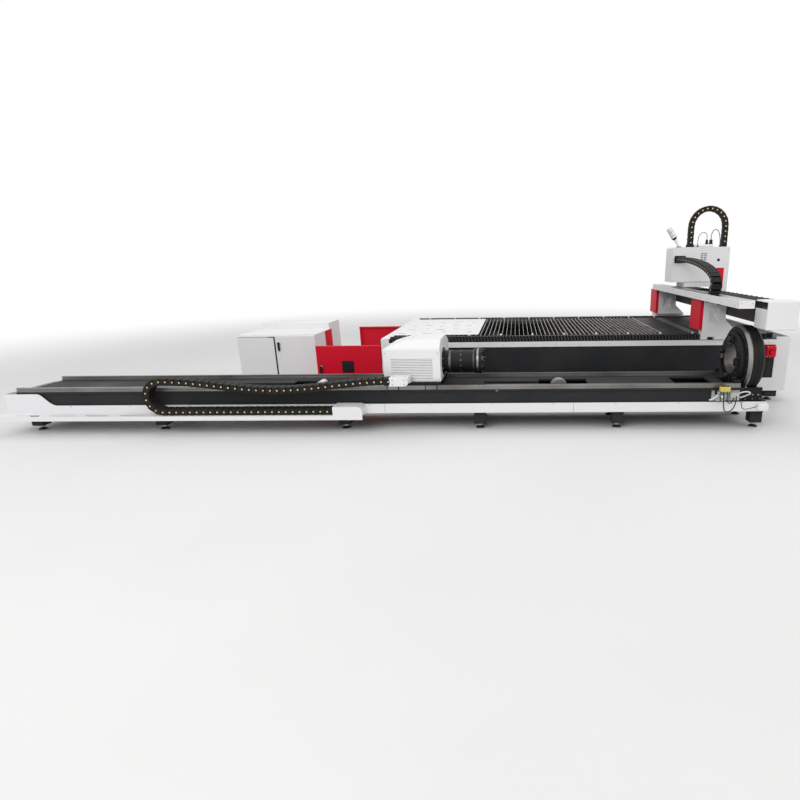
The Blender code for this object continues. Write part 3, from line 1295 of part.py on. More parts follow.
def cutting_head():
    middle = (TOWER_LEFT + HEAD_RIGHT) / 2
    half_wide, half_deep = CUTTER_WIDE / 2, CUTTER_DEEP / 2
    body = (middle - half_wide, middle + half_wide, HEAD_MIDDLE - half_deep, HEAD_MIDDLE + half_deep)
    slide = block("cutting_head", (*body, COLLAR_LOW + CONE_RADIUS, CUTTER_TOP), BLACK)
    low, collar = NOZZLE_LOW, COLLAR_LOW
    profile = [(0, low), (NOZZLE_RADIUS, low), (CONE_RADIUS, collar - CONE_RADIUS / 2), (CONE_RADIUS, collar)]
    collar_top = collar + 2 * CONE_RADIUS
    profile += [(COLLAR_RADIUS, collar), (COLLAR_RADIUS, collar_top), (0, collar_top)]
    weld(slide, turned("nozzle", profile, (middle, HEAD_MIDDLE), 2, STEEL, 2 * SMALL_STEPS))
    pivot(slide, (middle, HEAD_MIDDLE, POCKET_TOP))


# Chain across the gantry: in an arch from the head's side forward, round a bend and back along the tray
CROSS_LINK = 0.06
CROSS_HIGH = 0.05
CROSS_WIDE_LINK = 0.10
CROSS_BEND = 0.15
CROSS_BEND_PLACE = 0.70
CROSS_END = 2.2
CROSS_ARCH = 0.232  # from the bend's middle up to the head's port
CROSS_STEPS = 20
LOOP_RADIUS = 0.2075
LOOP_LEFT = 6.993
LOOP_HIGH = 0.247
LOOP_LINK = 0.06
LOOP_HIGH_LINK = 0.064
LOOP_WIDE_LINK = 0.06


def cross_chain():
    low = BEAM_TOP + SHEET + SEAT + CROSS_HIGH / 2
    bend = (CROSS_BEND_PLACE, low + CROSS_BEND)
    path = [(CROSS_END, low)] + arc(bend, CROSS_BEND, -90, -180, CROSS_STEPS // 2)
    port = HEAD_FRONT - SEAT - CROSS_LINK
    reach = port - (CROSS_BEND_PLACE - CROSS_BEND)
    for n in range(1, CROSS_STEPS + 1):
        turn = pi / 2 * n / CROSS_STEPS
        path.append((port - reach * cos(turn), bend[1] + CROSS_ARCH * sin(turn)))
    path.append((HEAD_FRONT - SEAT, bend[1] + CROSS_ARCH))
    middle = GANTRY_TRAY_LEFT + GANTRY_TRAY_WIDE / 2
    linked("cross_chain", path, 0, middle, CROSS_WIDE_LINK, CROSS_HIGH, CROSS_LINK, LINK_BLACK)


def loop_chain():
    low = HEAD_TOP + SEAT
    top = low + LOOP_HIGH
    middle = LOOP_LEFT + LOOP_RADIUS
    path = [(LOOP_LEFT, low)] + arc((middle, top), LOOP_RADIUS, 180, 0) + [(LOOP_LEFT + 2 * LOOP_RADIUS, low)]
    linked("loop_chain", path, 1, HEAD_MIDDLE, LOOP_WIDE_LINK, LOOP_HIGH_LINK, LOOP_LINK, LINK_BLACK)


# Signal lamp on the head: a neck and a tilted tube
LAMP_RADIUS = 0.034
LAMP_LONG = 0.137
LAMP_NECK_RADIUS = 0.018
LAMP_NECK_LONG = 0.12
LAMP_PLACE_IN = 0.11
LAMP_TILT = radians(-32.5)


def signal_lamp():
    base = (HEAD_LEFT + LAMP_PLACE_IN, HEAD_MIDDLE)
    profile = [(0, 0), (LAMP_NECK_RADIUS, 0)]
    profile += [(LAMP_NECK_RADIUS, LAMP_NECK_LONG), (LAMP_RADIUS, LAMP_NECK_LONG)]
    profile += [(LAMP_RADIUS, LAMP_NECK_LONG + LAMP_LONG), (0, LAMP_NECK_LONG + LAMP_LONG)]
    lamp = turned("signal_lamp", profile, (0, 0), 2, WHITE, SMALL_STEPS)
    lean = sin(abs(LAMP_TILT)) * LAMP_NECK_RADIUS
    place = Matrix.Translation((*base, HEAD_TOP + SEAT + lean))
    lamp.matrix_world = place @ Matrix.Rotation(LAMP_TILT, 4, "Y")


tube_bed_beam()
tube_bed_floor()
tube_bed_deck()
deck_rails()
side_skirt()
chain_tray()
chain_clamp_cover()
tube_chain()
tube_supports()
front_chuck()
rear_chuck_carriage()
rear_chuck_hood()
rear_chuck_drum()
rear_chuck_bracket()
air_service_unit()
cable_box()
cutting_bed_frame()
bed_front()
bed_left_cover()
slat_table()
table_covers()
bed_rails()
emergency_stop()
red_door("front_door", FRONT_DOOR_HINGE, -1)
red_door("rear_door", REAR_DOOR_HINGE, 1)
cabinet_body()
cabinet_doors()
gantry_beam()
gantry_leg("gantry_front_leg", LEG_FRONT, BED_RAIL_FRONT, True)
gantry_leg("gantry_rear_leg", REAR_LEG_FRONT, BED_RAIL_REAR, False)
gantry_tray()
gantry_bellows()
gantry_end_box()
head_saddle()
head_cover()
cutting_head()
cross_chain()
loop_chain()
signal_lamp()
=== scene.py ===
from itertools import product
from math import cos, hypot, pi, radians, sin

import bpy
from mathutils import Matrix, Vector


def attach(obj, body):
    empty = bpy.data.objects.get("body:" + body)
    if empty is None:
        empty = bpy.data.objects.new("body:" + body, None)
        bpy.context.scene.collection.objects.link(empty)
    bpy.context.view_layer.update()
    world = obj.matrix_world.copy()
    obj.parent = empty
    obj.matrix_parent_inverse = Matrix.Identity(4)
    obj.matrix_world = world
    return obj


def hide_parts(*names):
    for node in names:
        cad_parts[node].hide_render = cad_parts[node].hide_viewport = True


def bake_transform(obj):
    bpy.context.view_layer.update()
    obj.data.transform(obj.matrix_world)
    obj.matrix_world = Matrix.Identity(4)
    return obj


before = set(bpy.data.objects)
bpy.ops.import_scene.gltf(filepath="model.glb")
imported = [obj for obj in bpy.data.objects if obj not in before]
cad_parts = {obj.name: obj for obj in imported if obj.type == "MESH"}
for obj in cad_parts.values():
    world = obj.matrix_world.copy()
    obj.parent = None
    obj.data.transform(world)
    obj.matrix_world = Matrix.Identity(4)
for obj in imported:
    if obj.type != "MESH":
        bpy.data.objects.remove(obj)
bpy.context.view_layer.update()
print("frame loaded")


# the camera stands where the photo was taken, with its off-centre lens
cameraSet = {
    "place": (4.821, -4.873, 1.615),
    "yaw": -1.976,
    "pitch": 15.2956,
    "roll": -0.8672,
    "lens": 23.351,
    "shift": -0.1248,
    "sensor": 36,
    "farthest": 200,
}


def placeCamera():
    yaw, pitch, roll = (radians(cameraSet[part]) for part in ("yaw", "pitch", "roll"))
    forward = Vector((sin(yaw) * cos(pitch), cos(yaw) * cos(pitch), -sin(pitch)))
    level = Vector((cos(yaw), -sin(yaw), 0))
    upright = level.cross(forward)
    right = level * cos(roll) + upright * sin(roll)
    upright = upright * cos(roll) - level * sin(roll)
    bpy.ops.object.camera_add()
    camera = bpy.context.object
    turn = Matrix((right, upright, -forward)).transposed().to_4x4()
    camera.matrix_world = Matrix.Translation(cameraSet["place"]) @ turn
    camera.data.lens = cameraSet["lens"]
    camera.data.sensor_width = cameraSet["sensor"]
    camera.data.shift_x = cameraSet["shift"]
    camera.data.clip_end = cameraSet["farthest"]
    bpy.context.scene.camera = camera


placeCamera()
print("camera placed")


# painted and moulded looks, with the columns named in paintParts: worn is the tint of dust, cloud its scale
paintParts = ("colour", "worn", "rough", "spread", "grain", "depth", "cloud", "amount")
paints = {
    "whitePaint": ((0.81, 0.805, 0.82), (0.70, 0.695, 0.70), 0.40, 0.14, 260, 0.03, 1.4, 0.35),
    "charcoalPaint": ((0.017, 0.018, 0.020), (0.044, 0.042, 0.039), 0.50, 0.2, 240, 0.05, 2.2, 0.55),
    "blackPaint": ((0.006, 0.006, 0.007), (0.019, 0.018, 0.017), 0.42, 0.22, 220, 0.04, 4.0, 0.5),
    "redPaint": ((0.68, 0.005, 0.025), (0.58, 0.005, 0.02), 0.42, 0.14, 260, 0.03, 1.8, 0.4),
    "greyPaint": ((0.46, 0.47, 0.475), (0.34, 0.34, 0.335), 0.42, 0.16, 260, 0.03, 2.0, 0.4),
    "blackNylon": ((0.010, 0.009, 0.009), (0.030, 0.026, 0.023), 0.50, 0.2, 380, 0.08, 6.0, 0.5),
    "rubber": ((0.022, 0.022, 0.022), (0.045, 0.045, 0.044), 0.62, 0.2, 300, 0.08, 7.0, 0.5),
    # painted shade: the gantry beam's grey paint darkened to a dark umber for the shade it lies in
    "umberPaint": ((0.060, 0.050, 0.046), (0.11, 0.095, 0.088), 0.46, 0.18, 240, 0.04, 3.0, 0.5),
    "yellowPlastic": ((0.62, 0.52, 0.10), (0.50, 0.43, 0.12), 0.4, 0.15, 300, 0.03, 8.0, 0.4),
    "scorched": ((0.05, 0.045, 0.04), (0.12, 0.10, 0.08), 0.6, 0.2, 300, 0.03, 20.0, 0.5),
    "hoseWhite": ((0.74, 0.74, 0.72), (0.60, 0.60, 0.58), 0.35, 0.15, 300, 0.02, 8.0, 0.4),
}
# metals: stretch draws the brushed grain out along an axis
metalParts = ("colour", "worn", "rough", "spread", "stretch", "cloud")
metals = {
    "brightSteel": ((0.62, 0.615, 0.60), (0.42, 0.41, 0.39), 0.26, 0.24, (0.6, 60, 60), 3.0),
    "turnedSteel": ((0.58, 0.565, 0.54), (0.30, 0.28, 0.26), 0.24, 0.26, (90, 3, 3), 4.0),
    "railSteel": ((0.30, 0.29, 0.275), (0.14, 0.13, 0.12), 0.3, 0.24, (0.6, 60, 60), 2.0),
    "darkSteel": ((0.11, 0.105, 0.10), (0.21, 0.19, 0.17), 0.42, 0.25, (8, 8, 30), 3.0),
    "zincScrew": ((0.52, 0.52, 0.50), (0.36, 0.35, 0.33), 0.34, 0.2, (40, 40, 40), 20.0),
    "bandSteel": ((0.16, 0.155, 0.15), (0.28, 0.27, 0.25), 0.38, 0.2, (60, 0.6, 60), 4.0),
    "wornSteel": ((0.34, 0.325, 0.31), (0.09, 0.083, 0.078), 0.26, 0.22, (90, 3, 3), 5.0),
    "brassPin": ((0.78, 0.60, 0.30), (0.62, 0.47, 0.24), 0.34, 0.15, (50, 50, 50), 30.0),
}
# painted shade: side is the near black painted low on the slats, edge the pale steel of their tops
slatLook = {"levels": (0.745, 0.771, 0.0, 1.0), "side": (0.024, 0.022, 0.021), "edge": (0.62, 0.60, 0.57),
    "metallic": 0.25, "stain": (9, 6), "patchy": (0.5, 1.1), "rough": (0.4, 0.7), "grain": (160, 3),
    "bump": (0.15, 0.002)}
# what all paints and all metals share: pale paints shine more, as dust lies dull on dark ones
paintShare = {"detail": 6, "pale": 1.2, "paleShine": 0.5, "darkShine": 0.22, "grainDetail": 2, "bump": 0.002}
metalShare = {"brush": (4, 4), "detail": 5, "bump": (0.08, 0.001)}
noiseMiddle = (0.3, 0.7)
# where each kind's colour ramp starts and ends, and the looks made, by name
rampEnds = {"paint": (0.42, 0.78), "metal": (0.4, 0.8), "floor": (0.4, 0.7)}
looks = {}


def startLook(name):
    made = bpy.data.materials.new(name)
    made.use_nodes = True
    looks[name] = made
    nodes, links = made.node_tree.nodes, made.node_tree.links
    place = nodes.new("ShaderNodeTexCoord").outputs["Object"]
    return nodes, links, nodes["Principled BSDF"], place


def addNoise(nodes, links, place, scale, detail=3):
    noise = nodes.new("ShaderNodeTexNoise")
    noise.inputs["Scale"].default_value = scale
    noise.inputs["Detail"].default_value = detail
    links.new(place, noise.inputs["Vector"])
    return noise.outputs["Fac"]


def addTint(nodes, links, driver, colours, ends):
    ramp = nodes.new("ShaderNodeValToRGB")
    for stop, colour, at in zip(ramp.color_ramp.elements, colours, ends):
        stop.color = (*colour, 1)
        stop.position = at
    links.new(driver, ramp.inputs["Fac"])
    return ramp.outputs["Color"]


def setRange(node, *values):
    for socket, value in zip(("From Min", "From Max", "To Min", "To Max"), values):
        node.inputs[socket].default_value = value


def addMath(nodes, links, kind, first, second):
    made = nodes.new("ShaderNodeMath")
    made.operation = kind
    links.new(first, made.inputs[0])
    links.new(second, made.inputs[1])
    return made.outputs["Value"]


def addRange(nodes, links, driver, low, high):
    spread = nodes.new("ShaderNodeMapRange")
    setRange(spread, *noiseMiddle, low, high)
    links.new(driver, spread.inputs["Value"])
    return spread.outputs["Result"]


def addBump(nodes, links, driver, shader, strength, distance):
    bump = nodes.new("ShaderNodeBump")
    bump.inputs["Strength"].default_value = strength
    bump.inputs["Distance"].default_value = distance
    links.new(driver, bump.inputs["Height"])
    links.new(bump.outputs["Normal"], shader.inputs["Normal"])


def makePaint(name, look):
    nodes, links, shader, place = startLook(name)
    share = paintShare
    cloud = addNoise(nodes, links, place, look["cloud"], share["detail"])
    worn = Vector(look["colour"]).lerp(Vector(look["worn"]), look["amount"])
    tint = addTint(nodes, links, cloud, (look["colour"], worn), rampEnds["paint"])
    links.new(tint, shader.inputs["Base Color"])
    rough = look["rough"]
    links.new(addRange(nodes, links, cloud, rough, rough + look["spread"]), shader.inputs["Roughness"])
    shine = share["paleShine"] if sum(look["colour"]) > share["pale"] else share["darkShine"]
    shader.inputs["Specular IOR Level"].default_value = shine
    grain = addNoise(nodes, links, place, look["grain"], share["grainDetail"])
    addBump(nodes, links, grain, shader, look["depth"], share["bump"])


def makeMetal(name, look):
    nodes, links, shader, place = startLook(name)
    shader.inputs["Metallic"].default_value = 1
    stretch = nodes.new("ShaderNodeMapping")
    stretch.inputs["Scale"].default_value = look["stretch"]
    links.new(place, stretch.inputs["Vector"])
    brushed = addNoise(nodes, links, stretch.outputs["Vector"], *metalShare["brush"])
    cloud = addNoise(nodes, links, place, look["cloud"], metalShare["detail"])
    tint = addTint(nodes, links, cloud, (look["colour"], look["worn"]), rampEnds["metal"])
    links.new(tint, shader.inputs["Base Color"])
    rough = look["rough"]
    links.new(addRange(nodes, links, brushed, rough, rough + look["spread"]), shader.inputs["Roughness"])
    addBump(nodes, links, brushed, shader, *metalShare["bump"])


# the slats are painted near black low down, as painted shade between the plates, and fade to pale steel along their
# toothed tops, with patchy stains
def makeSlatSteel():
    nodes, links, shader, place = startLook("shadedSlatSteel")
    s = slatLook
    shader.inputs["Metallic"].default_value = s["metallic"]
    parts = nodes.new("ShaderNodeSeparateXYZ")
    links.new(place, parts.inputs["Vector"])
    # painted shade: the slats grow darker towards the bottom
    level = nodes.new("ShaderNodeMapRange")
    setRange(level, *s["levels"])
    links.new(parts.outputs["Z"], level.inputs["Value"])
    stain = addNoise(nodes, links, place, *s["stain"])
    patchy = addRange(nodes, links, stain, *s["patchy"])
    mixed = addMath(nodes, links, "MULTIPLY", level.outputs["Result"], patchy)
    tint = addTint(nodes, links, mixed, (s["side"], s["edge"]), (0.0, 1.0))
    links.new(tint, shader.inputs["Base Color"])
    links.new(addRange(nodes, links, stain, *s["rough"]), shader.inputs["Roughness"])
    addBump(nodes, links, addNoise(nodes, links, place, *s["grain"]), shader, *s["bump"])


for name, row in paints.items():
    makePaint(name, dict(zip(paintParts, row)))
for name, row in metals.items():
    makeMetal(name, dict(zip(metalParts, row)))
makeSlatSteel()
print("finishes made")


# modelling helpers
def selectOnly(*pieces):
    bpy.ops.object.select_all(action="DESELECT")
    for piece in pieces:
        piece.select_set(True)
    bpy.context.view_layer.objects.active = pieces[0]


def settle(piece):
    selectOnly(piece)
    bpy.ops.object.transform_apply(location=True, rotation=True, scale=True)
    return piece


def join(name, pieces):
    selectOnly(*pieces)
    if len(pieces) > 1:
        bpy.ops.object.join()
    piece = bpy.context.view_layer.objects.active
    piece.name = name
    piece.data.name = name
    return piece


def coat(piece, look, smooth):
    piece.data.materials.clear()
    piece.data.materials.append(looks[look])
    selectOnly(piece)
    if smooth:
        bpy.ops.object.shade_smooth_by_angle(angle=radians(smooth))


def dress(piece, body, look, smooth=35):
    coat(piece, look, smooth)
    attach(piece, body)
    return piece


def bevelEdges(piece, wanted, width, segments=2):
    selectOnly(piece)
    mesh = piece.data
    for part in (*mesh.vertices, *mesh.polygons):
        part.select = False
    for edge in mesh.edges:
        a, b = (mesh.vertices[v].co for v in edge.vertices)
        edge.select = bool(wanted(a, b))
    bpy.context.tool_settings.mesh_select_mode = (False, True, False)
    bpy.ops.object.mode_set(mode="EDIT")
    bpy.ops.mesh.bevel(offset=width, segments=segments, affect="EDGES", clamp_overlap=True)
    bpy.ops.object.mode_set(mode="OBJECT")
    return piece


def along(axis):
    return lambda a, b: abs((b - a).normalized()[axis]) > 0.999


def everyEdge(a, b):
    return True


def boxPiece(name, low, high, edge=0.0, segments=2, only=everyEdge):
    middle = [(a + b) / 2 for a, b in zip(low, high)]
    bpy.ops.object.select_all(action="DESELECT")
    bpy.ops.mesh.primitive_cube_add(size=1, location=middle)
    piece = bpy.context.object
    piece.name = name
    piece.scale = [b - a for a, b in zip(low, high)]
    settle(piece)
    if edge:
        bevelEdges(piece, only, edge, segments)
    return piece


def thicken(piece, thickness, offset):
    thick = piece.modifiers.new("thick", "SOLIDIFY")
    thick.thickness = thickness
    thick.offset = offset
    selectOnly(piece)
    bpy.ops.object.modifier_apply(modifier="thick")
    return piece


# rings pulled out of a circle: a profile of (radius, place along) round an axis
def turnedPiece(name, centre, axis, profile, steps=32, capStart=True, capEnd=True):
    turn = {0: (0, pi / 2, 0), 1: (-pi / 2, 0, 0), 2: (0, 0, 0)}[axis]
    first, start = profile[0]
    place = list(centre)
    place.insert(axis, start)
    bpy.ops.object.select_all(action="DESELECT")
    bpy.ops.mesh.primitive_circle_add(vertices=steps, radius=first, location=place, rotation=turn,
        fill_type="NGON" if capStart else "NOTHING")
    piece = bpy.context.object
    piece.name = name
    settle(piece)
    bpy.context.tool_settings.mesh_select_mode = (False, True, False)
    bpy.ops.object.mode_set(mode="EDIT")
    bpy.ops.mesh.select_all(action="SELECT")
    last = first
    for radius, at in profile[1:]:
        move = [0, 0, 0]
        move[axis] = at - start
        bpy.ops.mesh.extrude_edges_move(TRANSFORM_OT_translate={"value": move})
        if abs(radius - last) > 1e-7:
            size = [radius / last] * 3
            size[axis] = 1
            bpy.ops.transform.resize(value=size)
        last, start = radius, at
    if capEnd:
        bpy.ops.mesh.edge_face_add()
    bpy.ops.mesh.select_all(action="SELECT")
    bpy.ops.mesh.remove_doubles(threshold=0.00001)
    bpy.ops.mesh.normals_make_consistent(inside=False)
    bpy.ops.object.mode_set(mode="OBJECT")
    return piece


def ringPiece(name, centre, axis, profile, steps=48):
    return turnedPiece(name, centre, axis, [*profile, profile[0]], steps, False, False)


def copies(name, model, places):
    made = []
    for place in places:
        one = model.copy()
        one.data = model.data.copy()
        one.data.transform(place)
        bpy.context.scene.collection.objects.link(one)
        made.append(one)
    bpy.data.objects.remove(model)
    return join(name, made)


screwSet = {"sunk": 0.0005, "shoulder": 0.8, "crown": 0.86}


# screw heads: low hexagon heads or round cap heads, all facing along one axis
def screwHeads(name, points, axis, out, radius, high, steps=6):
    turn = {0: Matrix.Rotation(pi / 2 * out, 4, "Y"), 1: Matrix.Rotation(-pi / 2 * out, 4, "X"),
        2: Matrix.Rotation(0 if out > 0 else pi, 4, "X")}[axis]
    s = screwSet
    profile = [(radius, -s["sunk"]), (radius, high * s["shoulder"]), (radius * s["crown"], high)]
    model = turnedPiece("screwModel", (0, 0), 2, profile, steps)
    return copies(name, model, [Matrix.Translation(point) @ turn for point in points])


# a round bar or hose that follows points
def hosePiece(name, points, radius, sides=10):
    curve = bpy.data.curves.new(name, "CURVE")
    curve.dimensions = "3D"
    curve.bevel_depth = radius
    curve.bevel_resolution = sides // 4
    curve.resolution_u = 8
    curve.use_fill_caps = True
    line = curve.splines.new("NURBS")
    line.points.add(len(points) - 1)
    for spot, point in zip(line.points, points):
        spot.co = (*point, 1)
    line.use_endpoint_u = True
    line.order_u = 4
    piece = bpy.data.objects.new(name, curve)
    bpy.context.scene.collection.objects.link(piece)
    selectOnly(piece)
    bpy.ops.object.convert(target="MESH")
    return settle(bpy.context.object)


# finishes of the CAD nodes that stay in view, and of those that the scene's own pieces replace
nodeLooks = {
    "whitePaint": """side_skirt chain_tray chain_clamp_cover cable_box bed_front_strip bed_left_cover bed_right_cover
        loaded_sheet cabinet_body cabinet_door_left cabinet_door_right rear_chuck_hood rear_chuck_bracket
        support_roller_1 gantry_front_leg gantry_rear_leg gantry_tray gantry_end_box head_saddle head_cover
        signal_lamp""",
    "charcoalPaint": "tube_bed_beam tube_bed_deck tube_bed_floor cutting_bed_frame bed_front_panel",
    "blackPaint": """front_chuck_base front_chuck_housing cover_plate bed_rail_front front_door_latch rear_door_latch
        rear_chuck_carriage rear_chuck_drum front_chuck_drum front_jaw_1 front_jaw_2 front_jaw_3 front_jaw_4
        cutting_head""",
    "redPaint": "stop_box stop_button front_door rear_door gantry_front_leg_cover gantry_rear_leg_cover",
    "greyPaint": "air_service_unit support_fork_1 support_fork_2",
    "blackNylon": "cabinet_handle gantry_bellows tube_chain cross_chain loop_chain",
    "railSteel": "deck_rail_front deck_rail_rear",
    "darkSteel": "bed_rail_rear",
    "brightSteel": "support_roller_2",
    # the gantry beam takes the umber of painted shade
    "umberPaint": "gantry_beam",
    "shadedSlatSteel": "slat_table",
}
for look, some in nodeLooks.items():
    for node in some.split():
        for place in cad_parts[node].material_slots:
            place.material = looks[look]


# drag chains: side plates that overlap, cross bars above and below, and a bright pin at each joint
chainSets = {
    "tube": {"pitch": 0.0665, "wide": 0.10, "high": 0.063, "plate": 0.006},
    "cross": {"pitch": 0.06, "wide": 0.10, "high": 0.05, "plate": 0.006},
    "loop": {"pitch": 0.0605, "wide": 0.06, "high": 0.064, "plate": 0.005},
}
# a link's proportions: lengths in pitches, heights in link heights, edges in plate thicknesses
linkSet = {"outer": (-0.30, 0.62), "inner": (-0.62, -0.02), "corner": 0.26, "pinAt": 0.42, "pinRadius": 0.13,
    "pinProud": 0.0004, "bar": (-0.40, 0.46), "barShort": 0.8, "barEdge": 0.3}


def linkModel(size):
    pitch, wide, high, plate = (size[part] for part in ("pitch", "wide", "high", "plate"))
    s = linkSet
    parts, pins = [], []
    for side in (1, -1):
        for (start, end), inset in ((s["outer"], 0), (s["inner"], plate)):
            ends = sorted((side * (wide / 2 - inset), side * (wide / 2 - inset - plate)))
            plateBox = boxPiece("plate", (start * pitch, ends[0], -high / 2), (end * pitch, ends[1], high / 2))
            parts.append(bevelEdges(plateBox, along(1), high * s["corner"], 2))
        face = side * wide / 2
        ends = sorted((face - side * plate / 2, face + side * s["pinProud"]))
        profile = [(high * s["pinRadius"], end) for end in ends]
        pins.append(turnedPiece("pin", (pitch * s["pinAt"], 0), 1, profile, 10))
    for level in (1, -1):
        ends = sorted((level * high / 2, level * (high / 2 - plate)))
        reach = wide / 2 - plate * s["barShort"]
        bar = boxPiece("bar", (pitch * s["bar"][0], -reach, ends[0]), (pitch * s["bar"][1], reach, ends[1]))
        parts.append(bevelEdges(bar, along(1), plate * s["barEdge"], 1))
    return join("linkModel", parts), join("pinModel", pins)


def arcPoints(centre, radius, start, end, steps=24):
    turns = [radians(start + (end - start) * n / steps) for n in range(steps + 1)]
    return [(centre[0] + radius * cos(t), centre[1] + radius * sin(t)) for t in turns]


def droopPoints(start, end, sag, steps=32):
    points = []
    for n in range(1, steps + 1):
        share = n / steps
        drop = sag * sin(pi * share) ** 2
        points.append((start[0] + (end[0] - start[0]) * share, start[1] + (end[1] - start[1]) * share - drop))
    return points


# the middle of each link and its slope, at even steps along a path
def linkPlaces(path, pitch):
    reach = [0]
    for a, b in zip(path, path[1:]):
        reach.append(reach[-1] + hypot(b[0] - a[0], b[1] - a[1]))
    count = round(reach[-1] / pitch)
    places = []
    for n in range(count):
        ends = []
        for share in (n, n + 1):
            length = share * reach[-1] / count
            k = next((k for k in range(1, len(path)) if reach[k] >= length - 1e-9), len(path) - 1)
            a, b = Vector(path[k - 1]), Vector(path[k])
            ends.append(a.lerp(b, (length - reach[k - 1]) / (reach[k] - reach[k - 1])))
        places.append(((ends[0] + ends[1]) / 2, (ends[1] - ends[0]).normalized()))
    return places


def chainRun(name, kind, places, plane, middle):
    size = chainSets[kind]
    made = []
    for part, model in zip(("", "Pins"), linkModel(size)):
        moves = []
        for point, slope in places:
            if plane == "xz":
                columns = ((slope[0], 0, slope[1]), (0, 1, 0), (-slope[1], 0, slope[0]))
                at = (point[0], middle, point[1])
            else:
                columns = ((0, slope[0], slope[1]), (-1, 0, 0), (0, -slope[1], slope[0]))
                at = (middle, point[0], point[1])
            moves.append(Matrix.Translation(at) @ Matrix(columns).transposed().to_4x4())
        made.append(copies(name + part, model, moves))
    return made


def dressChain(run, bodies, ends):
    for piece, look in zip(run, ("blackNylon", "brassPin")):
        coat(piece, look, 30)
        if ends is None:
            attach(piece, bodies[0])
        else:
            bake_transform(piece)


farOff = 100  # ends for the bend, set far apart on either side of its middle


# each chain is cut into a lower run, a bend and an upper run, and each part is built and baked in place on its own
def splitChain(kind, plane, path, c, bodies, node):
    places = linkPlaces(path, chainSets[kind]["pitch"])
    far = 2 * c["bend"]

    def spot(length, across):
        return (length, across, 0) if plane == "xz" else (across, length, 0)

    parts = {
        "Lower": ([p for p in places if p[0][0] > c["bend"] and p[1][0] < -0.5],
            (spot(c["clamp"], 0), spot(far - c["clamp"], 0))),
        "Bend": ([p for p in places if p[0][0] <= c["bend"]],
            (spot(0, c["middle"] - farOff), spot(0, c["middle"] + farOff))),
        "Upper": ([p for p in places if p[0][0] > c["bend"] and p[1][0] > 0.5],
            (spot(far - c["end"], 0), spot(c["end"], 0))),
    }
    for name, (some, ends) in parts.items():
        run = chainRun(kind + "Chain" + name, kind, some, plane, c["middle"])
        dressChain(run, bodies, ends)
        if name == "Lower":
            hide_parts(node)


tubeChainSet = {"clamp": 3.08, "end": 3.628, "bend": 1.43, "radius": 0.15, "low": 0.2318, "sag": 0.085, "fall": 0.014,
    "middle": -0.155}


def makeTubeChain():
    c = tubeChainSet
    centre = (c["bend"], c["low"] + c["radius"])
    top = centre[1] + c["radius"]
    path = [(c["clamp"], c["low"])] + arcPoints(centre, c["radius"], -90, -270)
    path += droopPoints((c["bend"], top), (c["end"], top - c["fall"]), c["sag"])
    splitChain("tube", "xz", path, c, ("machine_frame", "rear_chuck"), "tube_chain")


crossChainSet = {"clamp": 2.2, "end": 1.8197, "bend": 0.70, "radius": 0.15, "low": 1.1843, "arch": 0.232,
    "port": 0.05, "tuck": 0.008, "middle": 6.8375, "steps": 40}


# the lower half of the bend is round, and from there the chain rises in one long arch to the head
def makeCrossChain():
    c = crossChainSet
    centre = (c["bend"], c["low"] + c["radius"])
    port = c["end"] - c["port"]
    reach = port - c["bend"] + c["radius"]
    path = [(c["clamp"], c["low"])] + arcPoints(centre, c["radius"], -90, -180, 12)
    for n in range(1, c["steps"] + 1):
        turn = pi / 2 * n / c["steps"]
        path.append((port - reach * cos(turn), centre[1] + c["arch"] * sin(turn)))
    path.append((c["end"] - c["tuck"], centre[1] + c["arch"]))
    splitChain("cross", "yz", path, c, ("gantry", "head"), "cross_chain")


loopChainSet = {"left": 6.993, "radius": 0.2075, "low": 1.7103, "high": 0.247, "middle": 1.97}


def makeLoopChain():
    c = loopChainSet
    centre = (c["left"] + c["radius"], c["low"] + c["high"])
    right = c["left"] + 2 * c["radius"]
    path = [(c["left"], c["low"])] + arcPoints(centre, c["radius"], 180, 0) + [(right, c["low"])]
    places = linkPlaces(path, chainSets["loop"]["pitch"])
    run = chainRun("loopChain", "loop", places, "xz", c["middle"])
    dressChain(run, ("head",), None)
    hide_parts("loop_chain")


makeTubeChain()
makeCrossChain()
makeLoopChain()
print("drag chains linked")


# slats: one toothed plate modelled and copied, with two end bars
slatSet = {"left": 3.40, "pitch": 0.05, "count": 61, "thick": 0.0034, "front": 1.0403, "rear": 2.66, "low": 0.690,
    "top": 0.770, "tooth": 0.045, "deep": 0.022, "bar": 0.011, "barTop": 0.740, "middle": 0.0025, "play": 0.001}


def slatModel():
    s = slatSet
    front, rear = s["front"] + s["play"], s["rear"] - s["play"]
    teeth = int((rear - front) / s["tooth"])
    step = (rear - front) / teeth
    bpy.ops.object.select_all(action="DESELECT")
    bpy.ops.mesh.primitive_grid_add(x_subdivisions=1, y_subdivisions=2 * teeth, size=1)
    slat = bpy.context.object
    for spot in slat.data.vertices:
        share = spot.co.y + 0.5
        up = spot.co.x > 0
        notch = round(share * 2 * teeth) % 2 == 0
        top = s["top"] - (s["deep"] if notch else 0)
        spot.co = (0, front + share * 2 * teeth * step / 2, top if up else s["low"])
    return thicken(slat, s["thick"], 0)


def makeSlats():
    s = slatSet
    places = [Matrix.Translation((s["left"] + n * s["pitch"] + s["middle"], 0, 0)) for n in range(s["count"])]
    slats = copies("slats", slatModel(), places)
    right = s["left"] + (s["count"] - 1) * s["pitch"] + 2 * s["middle"]
    bars = [boxPiece("bar", (s["left"], front, s["low"]), (right, front + s["bar"], s["barTop"]), 0.001, 1)
        for front in (s["front"], s["rear"] - s["bar"])]
    bars = join("slatBars", bars)
    dress(slats, "machine_frame", "shadedSlatSteel", 0)
    dress(bars, "machine_frame", "darkSteel")
    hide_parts("slat_table")


makeSlats()
print("slats cut")


